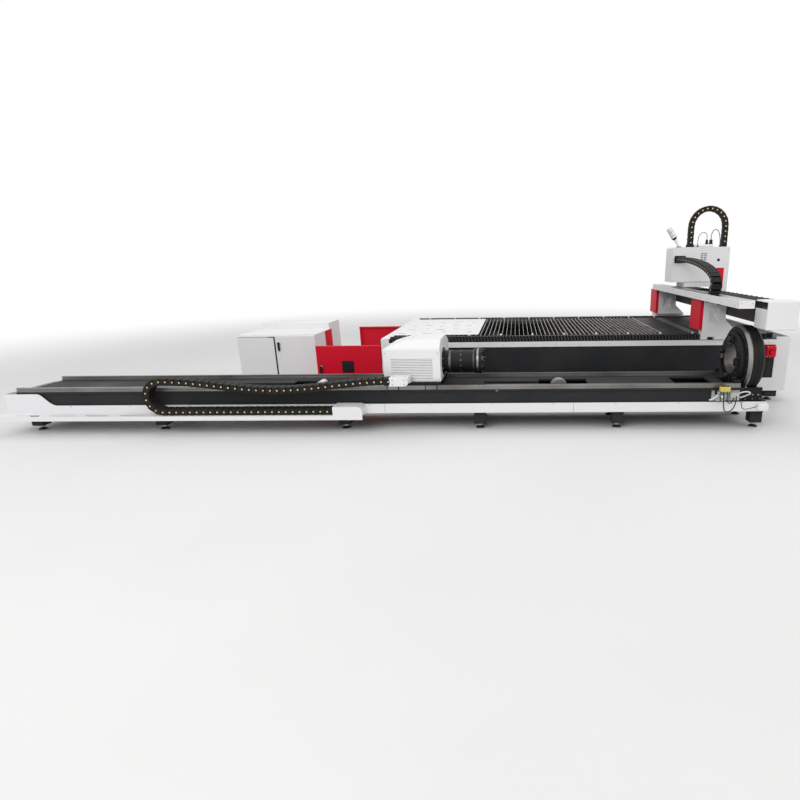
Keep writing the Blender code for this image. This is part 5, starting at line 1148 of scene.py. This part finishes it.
# air unit, its hoses and valve, the cable box and the supports' caps
airSet = {
    "gauge": (6.7354, 0.337), "gaugeFace": -0.1343, "bowls": ((6.712, -0.0913), (6.7588, -0.0913)),
    "bowl": [(0.0185, 0.3505), (0.0205, 0.3495), (0.0205, 0.3550), (0.0185, 0.3560)],
    "drain": [(0.006, 0.2858), (0.006, 0.279), (0.004, 0.2765)],
}
dressTrim({"machine_frame": {
    "boxes": {
        "airValve": ("yellowPlastic", 0.004, [((6.708, -0.150, 0.386), (6.800, -0.112, 0.432))], 2),
        "cableBoxLid": ("whitePaint", 0.0018, [((7.086, -0.1275, 0.196), (7.174, -0.1256, 0.254))], 2),
    },
    "turned": {
        "valveCaps": ("blackNylon", 2, 12, [(x, -0.131) for x in (6.728, 6.754, 6.780)],
            [(0.0095, 0.431), (0.0095, 0.438), (0.0075, 0.440)]),
        "inletPlug": ("blackNylon", 0, 12, [(-0.172, 0.309)], [(0.0085, 6.606), (0.0085, 6.588), (0.0065, 6.585)]),
        "airKnob": ("blackNylon", 2, 16, [(6.690, -0.095)], [(0.010, 0.349), (0.010, 0.382), (0.0135, 0.384),
            (0.0135, 0.412), (0.0115, 0.415)]),
        "gaugeDisc": ("hoseWhite", 1, 28, [airSet["gauge"]],
            outFrom(airSet["gaugeFace"], -1, [(0.0170, 0.0001), (0.0170, 0.0008)])),
        "cableGland": ("blackNylon", 2, 12, [(7.130, -0.103)], [(0.010, 0.1898), (0.010, 0.183), (0.008, 0.182),
            (0.008, 0.174), (0.005, 0.173)]),
    },
    "rings": {
        "gaugeRim": ("blackNylon", 1, 28, airSet["gauge"], outFrom(airSet["gaugeFace"], 1, [
            (0.0165, 0.002), (0.0165, -0.0015), (0.0205, -0.0015), (0.0215, 0.004), (0.0205, 0.006)])),
    },
    "screws": {
        "airPlateScrews": ("zincScrew", "-y", 0.004, 0.003, grid((6.668, 6.912), -0.0663, (0.291, 0.373))),
        "cableBoxScrews": ("zincScrew", "-y", 0.0035, 0.0015, grid((7.094, 7.166), -0.1275, (0.204, 0.246))),
        "clampScrews": ("zincScrew", "+z", 0.006, 0.003, grid((3.12, 3.32), (-0.190, -0.120), 0.2853)),
    },
    "hoses": {
        "airHoseLong": ("rubber", 0.005, (6.745, -0.131, 0.387), (6.735, -0.165, 0.360), (6.735, -0.175, 0.260),
            (6.750, -0.170, 0.200), (6.800, -0.165, 0.195), (6.850, -0.155, 0.235), (6.865, -0.135, 0.300),
            (6.875, -0.115, 0.335)),
        "airHoseShort": ("rubber", 0.0045, (6.775, -0.131, 0.387), (6.770, -0.160, 0.370), (6.760, -0.170, 0.310),
            (6.790, -0.165, 0.270), (6.830, -0.150, 0.290), (6.850, -0.115, 0.320)),
        "airWire": ("rubber", 0.0035, (7.081, -0.105, 0.232), (7.040, -0.135, 0.232), (6.980, -0.150, 0.222),
            (6.930, -0.155, 0.217), (6.915, -0.150, 0.235), (6.912, -0.130, 0.300), (6.898, -0.100, 0.335)),
        "airTube": ("hoseWhite", 0.006, (6.8985, -0.095, 0.355), (6.930, -0.105, 0.376), (6.975, -0.125, 0.384),
            (7.005, -0.120, 0.365), (6.985, -0.100, 0.345), (6.945, -0.095, 0.325), (6.8985, -0.092, 0.312)),
        "inletTube": ("hoseWhite", 0.007, (6.702, -0.110, 0.352), (6.685, -0.150, 0.348), (6.650, -0.165, 0.334),
            (6.618, -0.170, 0.320), (6.596, -0.172, 0.309)),
    },
}})


def makeBowlRings():
    parts = []
    for place in airSet["bowls"]:
        parts.append(turnedPiece("bowl", place, 2, airSet["bowl"], 24, False, False))
        parts.append(turnedPiece("drain", place, 2, airSet["drain"], 12))
    dress(join("bowlRings", parts), "machine_frame", "blackNylon")


# each roller: its place along the bed, radius, caps on both ends and two dark rings of painted shade where its
# grooves run
rollerSet = {"1": (2.84, 0.035), "2": (5.24, 0.085), "top": 0.4453, "ends": ((0.15, -1), (0.27, 1)),
    "grooves": (0.170, 0.248), "groove": ((-0.002, 0), (0.0004, 0), (0.0004, 0.002), (-0.002, 0.002))}


def makeSupportTrim():
    for number in ("1", "2"):
        x, radius = rollerSet[number]
        place, body = (x, rollerSet["top"] - radius), "support_roller_" + number
        caps = [turnedPiece("cap", place, 1, outFrom(end, out, [
            (radius * 0.55, 0.0002), (radius * 0.55, 0.0008), (radius * 0.5, 0.0014), (0.012, 0.0014)]), 24)
            for end, out in rollerSet["ends"]]
        dress(join("rollerCaps" + number, caps), body, "zincScrew")
        # painted shade: the grooves are dark rings on the roller, not cut in
        grooves = [ringPiece("groove", place, 1, [(radius + up, y + at) for up, at in rollerSet["groove"]], 40)
            for y in rollerSet["grooves"]]
        dress(join("rollerGrooveShade" + number, grooves), body, "charcoalPaint")


makeBowlRings()
makeSupportTrim()
print("air unit and supports dressed")


# gantry: rail and rack under the head, brackets below the tray, screws, seams and caps
dressTrim({"gantry": {
    "boxes": {
        "headRail": ("railSteel", 0.002, [((7.3203, 0.08, 0.989), (7.332, 3.02, 1.006))]),
        "trayBrackets": ("blackPaint", 0.002, blocks([(6.7760, 7.0995)],
            around(0.018, 0.30, 0.62, 1.36, 1.74, 2.12, 2.50), [(1.1435, 1.1546)])),
        "beamSeams": ("blackPaint", 0, blocks([(7.105, 7.315)], around(0.0015, 0.40, 1.22, 1.96, 2.69),
            [(0.9843, 0.9850)])),
        # the beam's end plate takes the same painted umber shade
        "beamEndPlate": ("umberPaint", 0.003, [((7.3203, 2.72, 1.012), (7.324, 3.02, 1.146))], 2),
        "legRibs1": ("whitePaint", 0.001, blocks([(7.0943, 7.0975)], around(0.0075, 0.9475, 1.0475, 1.1475),
            [(0.95, 1.145)])),
        "legRibs2": ("whitePaint", 0.001, blocks([(7.0943, 7.0975)], around(0.0075, 2.7775, 2.8775, 2.9775),
            [(0.95, 1.145)])),
        "trayLips": ("whitePaint", 0.0008, blocks([(6.7742, 6.7818), (6.8932, 6.9008)], [(-0.204, 2.764)],
            [(1.2218, 1.2248)])),
        "traySeams": ("charcoalPaint", 0, blocks(around(0.0004, 6.77), around(0.001, 0.78, 1.77), [(1.157, 1.2245)])),
        "endBoxSeams": ("charcoalPaint", 0, [((7.3196, -0.150, 0.960), (7.3204, -0.1488, 1.208)),
            ((7.110, -0.150, 1.2116), (7.312, -0.1488, 1.2124))]),
    },
    "screws": {
        "headRailScrews": ("darkSteel", "+x", 0.005, 0.0006, grid(7.3318, span(0.13, 2.98, 26), 0.9975), 8),
        "beamEndScrews": ("zincScrew", "+x", 0.006, 0.004, grid(7.324, (2.735, 2.87, 3.005), (1.026, 1.132))),
        "legCoverScrews": ("blackPaint", "-x", 0.005, 0.0025, grid(6.8147, (0.90, 1.18, 2.73, 3.01), (0.84, 1.125))),
        "legBolts": ("whitePaint", "-y", 0.008, 0.005, grid((6.87, 6.95, 7.03, 7.11, 7.19), 0.88, 0.766)),
        "trayScrews": ("zincScrew", "-x", 0.005, 0.0025, grid(6.77, span(-0.13, 2.69, 9), 1.178)),
        "trayEndScrews": ("zincScrew", "-y", 0.005, 0.0025, grid((6.79, 6.885), -0.21, 1.20)),
        "endBoxScrews": ("whitePaint", "-y", 0.005, 0.0025,
            grid((7.056, 7.304), -0.1753, 0.972) + [(7.304, -0.1753, 1.196), (7.056, -0.1753, 1.120)]),
        "endBoxSideScrews": ("zincScrew", "+x", 0.005, 0.0025, grid(7.32, (-0.160, 0.058), (0.972, 1.196))),
    },
    "turned": {
        "endBoxGlands": ("blackNylon", 2, 12, [(7.09, -0.06), (7.14, -0.06)], [
            (0.013, 0.9546), (0.013, 0.948), (0.010, 0.947), (0.010, 0.940), (0.006, 0.939)]),
    },
}})


# the head's rack is a strip laid along x, then swapped to y and turned teeth down
headRackSet = {"from": 0.14, "strip": {"start": 0, "end": 2.78, "pitch": 0.0126, "front": 7.270, "rear": 7.300,
    "low": 0.970, "top": 0.9845, "deep": 0.007}}


def makeHeadRack():
    strip = headRackSet["strip"]
    rack = toothStrip("headRack", **strip)
    swap = Matrix(((0, 1, 0, 0), (1, 0, 0, 0), (0, 0, 1, 0), (0, 0, 0, 1)))
    rack.data.transform(Matrix.Translation((0, headRackSet["from"], 0)) @ swap)
    level = strip["low"] + strip["top"]
    rack.data.transform(Matrix.Translation((0, 0, level)) @ Matrix.Scale(-1, 4, (0, 0, 1)))
    dress(rack, "gantry", "darkSteel", 0)


makeHeadRack()
print("gantry dressed")


# head: red panel, slanted vent slits painted dark as shade, port frame, top fittings, cutting head's collars and
# hoses, lamp rings
headSet = {
    "top": 1.71, "axis": (7.3925, 1.97), "vents": grid((7.104, 7.144), 0, span(1.56, 1.6305, 4)), "ventLean": -24,
    "vent": ((-0.0165, 1.8192, -0.0045), (0.0165, 1.8198, 0.0045)),
    "backBlades": {"ends": (6.86, 7.10), "levels": span(1.42, 1.58, 8), "face": 2.12, "out": 0.004, "high": 0.011,
        "cut": 0.0036},
    "fittings": ((7.176, 0.015, 0.007), (7.226, 0.019, 0.009)), "fittingRow": 1.905,
    "collars": ([(0.0290, 0.9035), (0.0312, 0.9045), (0.0312, 0.9135), (0.0290, 0.9145)],
        [(0.0290, 0.9185), (0.0303, 0.9190), (0.0303, 0.9225), (0.0290, 0.9230)]),
    "tip": [(0.0105, 0.8600), (0.0120, 0.8585), (0.0120, 0.8525), (0.0085, 0.8455), (0.0030, 0.8452)],
    "cone": [(0.0255, 0.8985), (0.0265, 0.8970), (0.0265, 0.8900), (0.0215, 0.8835)],
}
dressTrim({
    "head": {
        "boxes": {
            "headPanel": ("redPaint", 0.0004, [((7.290, 1.8184, 1.2905), (7.385, 1.8197, 1.460)),
                ((7.347, 1.8184, 1.200), (7.385, 1.8197, 1.2905))]),
            "chainPort": ("blackPaint", 0.001, borderBoxes(1, (1.811, 1.8197), (6.7715, 6.9035, 1.5243, 1.6083),
                (6.785, 6.890, 1.5383, 1.5943))),
            # painted shadow: a dark strip along the head cover's low edge, where it stands off the saddle
            "headSeal": ("rubber", 0.001, [((6.904, 1.810, 1.28995), (7.338, 1.8197, 1.2945))]),
            "headSeams": ("charcoalPaint", 0, [((7.2395, 2.1196, 1.294), (7.2407, 2.1204, 1.700)),
                ((6.7498, 1.835, 1.4994), (6.7504, 2.105, 1.5006))]),
            "headLid": ("whitePaint", 0.014, [((7.035, 1.870, 1.7103), (7.254, 2.060, 1.742))], 3),
            "loopClamp1": ("blackPaint", 0.001, blocks([(6.9545, 7.0275)], [(1.932, 1.938), (2.002, 2.008)],
                [(1.7103, 1.740)])),
            "loopClamp2": ("blackPaint", 0.001, blocks([(7.373, 7.436)], [(1.932, 1.938), (2.002, 2.008)],
                [(1.7103, 1.740)])),
        },
        "screws": {
            "headScrews": ("zincScrew", "-y", 0.005, 0.0025, [
                (x, 1.82, z) for x, z in ((6.775, 1.310), (6.775, 1.680), (7.415, 1.680), (7.415, 1.500),
                    (7.10, 1.690), (7.420, 1.020), (7.10, 1.310))]),
            "headBackScrews": ("zincScrew", "+y", 0.005, 0.0025,
                grid((6.775, 7.10, 7.415), 2.12, (1.315, 1.685)) + [(7.3925, 2.12, 1.02)]),
            "armBolts": ("zincScrew", "+z", 0.007, 0.005, grid((6.93, 7.02, 7.12, 7.22, 7.31), 1.80, 1.2897)),
            "headTopScrews": ("zincScrew", "+z", 0.005, 0.0025,
                grid((6.775, 7.30), (1.845, 2.095), 1.71) + [(7.415, 2.095, 1.71)]),
        },
        "turned": {
            "headPlug": ("blackNylon", 1, 28, [(7.308, 1.554)], outFrom(1.82, -1, [
                (0.017, 0.0002), (0.017, 0.0020), (0.0150, 0.0030), (0.006, 0.0030)])),
            "headGlands": ("blackNylon", 2, 12, [(7.346, 1.925), (7.052, 1.855)], outFrom(1.71, 1, [
                (0.010, 0.0002), (0.010, 0.010), (0.008, 0.012), (0.008, 0.018), (0.0055, 0.020)])),
            "lampFoot": ("blackNylon", 2, 28, [(6.86, 1.97)], outFrom(1.71, 1, [
                (0.034, 0.0003), (0.034, 0.0055), (0.031, 0.0075), (0.020, 0.0100)])),
        },
        "hoses": {
            "headCable1": ("rubber", 0.0042, (7.226, 1.905, 1.815), (7.226, 1.905, 1.88), (7.262, 1.915, 1.925),
                (7.318, 1.930, 1.91), (7.344, 1.930, 1.83), (7.346, 1.925, 1.76), (7.346, 1.925, 1.711)),
            "headCable2": ("rubber", 0.0034, (7.176, 1.905, 1.815), (7.176, 1.905, 1.86), (7.140, 1.900, 1.895),
                (7.080, 1.895, 1.87), (7.058, 1.885, 1.80), (7.052, 1.862, 1.75), (7.052, 1.855, 1.711)),
        },
    },
    "cutting_head": {
        "boxes": {"cutterPlate": ("darkSteel", 0.0008, [((7.3685, 1.9078, 0.934), (7.4165, 1.9099, 0.974))])},
        "screws": {
            "cutterScrews": ("zincScrew", "-y", 0.0032, 0.0015, grid((7.4105, 7.3745), 1.9078, (0.941, 0.967))),
        },
        "hoses": {
            "cutterHose": ("rubber", 0.003, (7.4185, 1.909, 0.955), (7.4225, 1.890, 0.952), (7.4265, 1.888, 0.925),
                (7.4285, 1.910, 0.905), (7.4265, 1.950, 0.906), (7.423, 1.966, 0.909)),
        },
    },
})


def makeHeadVents():
    h = headSet
    slits = []
    # painted shade: each vent slit is a thin dark strip on the head's face
    for place in h["vents"]:
        slit = boxPiece("slit", *h["vent"])
        slit.data.transform(Matrix.Translation(place) @ Matrix.Rotation(radians(h["ventLean"]), 4, "Y"))
        slits.append(slit)
    dress(join("headVentShade", slits), "head", "charcoalPaint")
    dress(join("headBackLouvres", louvreBlades(1, **h["backBlades"])), "head", "whitePaint")


# two cable fittings on the lid, each with a bright collar
def makeHeadFittings():
    row, top = headSet["fittingRow"], headSet["top"]
    fittings, collars = [], []
    for x, wide, narrow in headSet["fittings"]:
        fittings.append(turnedPiece("fitting", (x, row), 2, outFrom(top, 1, [
            (wide + 0.004, 0.031), (wide + 0.004, 0.044), (wide, 0.046), (wide, 0.080), (wide - 0.003, 0.084),
            (0.004, 0.088)]), 20))
        collars.append(turnedPiece("collar", (x, row), 2, outFrom(top, 1, [
            (narrow, 0.086), (narrow, 0.104), (0.005, 0.107)]), 16))
    dress(join("headFittings", fittings), "head", "blackNylon")
    dress(join("headCollars", collars), "head", "zincScrew")


def makeCutterTrim():
    h = headSet
    rings = [ringPiece("collar", h["axis"], 2, profile, 36) for profile in h["collars"]]
    rings.append(turnedPiece("nozzleTip", h["axis"], 2, h["tip"], 24))
    dress(join("cutterRings", rings), "cutting_head", "brightSteel")
    cone = turnedPiece("nozzleRing", h["axis"], 2, h["cone"], 32, False, False)
    dress(cone, "cutting_head", "brassPin")


# the signal lamp leans, so its rings are made upright and moved into place
lampTrim = {
    "foot": (6.86, 1.97, 1.7103), "lean": 32.5, "lift": 0.018,
    "rings": {
        "lampSeams": ("charcoalPaint", [(0.0340, 0.1585), (0.0344, 0.1585), (0.0344, 0.1610), (0.0340, 0.1610)],
            [(0.0340, 0.2045), (0.0344, 0.2045), (0.0344, 0.2070), (0.0340, 0.2070)]),
        "lampCollar": ("blackNylon", [(0.0181, 0.104), (0.0230, 0.104), (0.0300, 0.1195), (0.0181, 0.1195)],
            [(0.0340, 0.1205), (0.0352, 0.1215), (0.0352, 0.1285), (0.0340, 0.1295)]),
        "lampCap": ("whitePaint", [(0.0300, 0.2572), (0.0300, 0.2600), (0.0240, 0.2630), (0.0020, 0.2645),
            (0.0010, 0.2572)]),
    },
}


def makeLampTrim():
    x, y, z = lampTrim["foot"]
    lean = radians(lampTrim["lean"])
    place = Matrix.Translation((x, y, z + sin(lean) * lampTrim["lift"])) @ Matrix.Rotation(-lean, 4, "Y")
    for name, (look, *profiles) in lampTrim["rings"].items():
        piece = join(name, [ringPiece("ring", (0, 0), 2, profile, 32) for profile in profiles])
        piece.data.transform(place)
        dress(piece, "head", look)


makeHeadVents()
makeHeadFittings()
makeCutterTrim()
makeLampTrim()
print("head dressed")


# floor, world and lamps
stageSet = {"floor": (0.80, 0.80, 0.795), "patch": 0.97, "rough": 0.7, "ambient": 0.55, "middle": (0, -19, 0),
    "fade": (5.5, 13), "size": 120, "place": (4, 20, -0.0006)}
lampSet = {
    "key": {"place": (0.5, -7.0, 6.5), "aim": (4.2, 1.0, 0.4), "size": (8, 5), "power": 395},
    "top": {"place": (4.0, 2.0, 7.5), "aim": (4.0, 1.6, 0.0), "size": (10, 6), "power": 175},
    "right": {"place": (12.5, -2.5, 5.0), "aim": (5.5, 1.2, 0.6), "size": (5, 4), "power": 170},
}


# a pale floor that fades to white far away, for the camera alone
def makeFloor():
    s = stageSet
    bpy.ops.object.select_all(action="DESELECT")
    bpy.ops.mesh.primitive_plane_add(size=s["size"], location=s["place"])
    floor = bpy.context.object
    floor.name = "studioFloor"
    nodes, links, shader, place = startLook("floorPaint")
    patch = [value * s["patch"] for value in s["floor"]]
    tint = addTint(nodes, links, addNoise(nodes, links, place, 0.6, 4), (s["floor"], patch), rampEnds["floor"])
    links.new(tint, shader.inputs["Base Color"])
    shader.inputs["Roughness"].default_value = s["rough"]
    away = nodes.new("ShaderNodeVectorMath")
    away.operation = "DISTANCE"
    links.new(place, away.inputs[0])
    away.inputs[1].default_value = s["middle"]
    fade = nodes.new("ShaderNodeMapRange")
    fade.interpolation_type = "SMOOTHSTEP"
    setRange(fade, *s["fade"], 0, 1)
    links.new(away.outputs["Value"], fade.inputs["Value"])
    rays = nodes.new("ShaderNodeLightPath")
    seen = addMath(nodes, links, "MULTIPLY", fade.outputs["Result"], rays.outputs["Is Camera Ray"])
    white = nodes.new("ShaderNodeEmission")
    mixed = nodes.new("ShaderNodeMixShader")
    links.new(seen, mixed.inputs["Fac"])
    links.new(shader.outputs["BSDF"], mixed.inputs[1])
    links.new(white.outputs["Emission"], mixed.inputs[2])
    links.new(mixed.outputs["Shader"], nodes["Material Output"].inputs["Surface"])
    floor.data.materials.append(looks["floorPaint"])


# the world lights softly and looks white to the camera, to metal and through glass
def makeWorld():
    world = bpy.data.worlds.new("studio")
    world.use_nodes = True
    bpy.context.scene.world = world
    nodes, links = world.node_tree.nodes, world.node_tree.links
    shade = nodes["Background"]
    shade.inputs["Color"].default_value = (1, 1, 1, 1)
    rays = nodes.new("ShaderNodeLightPath")
    most = rays.outputs["Is Camera Ray"]
    for ray in ("Is Glossy Ray", "Is Transmission Ray"):
        most = addMath(nodes, links, "MAXIMUM", most, rays.outputs[ray])
    strength = nodes.new("ShaderNodeMapRange")
    setRange(strength, 0, 1, stageSet["ambient"], 1)
    links.new(most, strength.inputs["Value"])
    links.new(strength.outputs["Result"], shade.inputs["Strength"])


def makeLamps():
    for name, lamp in lampSet.items():
        bpy.ops.object.light_add(type="AREA", location=lamp["place"])
        light = bpy.context.object
        light.name = name + "Lamp"
        light.data.shape = "RECTANGLE"
        light.data.size, light.data.size_y = lamp["size"]
        light.data.energy = lamp["power"]
        aim = Vector(lamp["aim"]) - Vector(lamp["place"])
        light.rotation_euler = aim.to_track_quat("-Z", "Y").to_euler()


makeFloor()
makeWorld()
makeLamps()
bpy.context.scene.view_settings.view_transform = "Standard"
print("stage set")
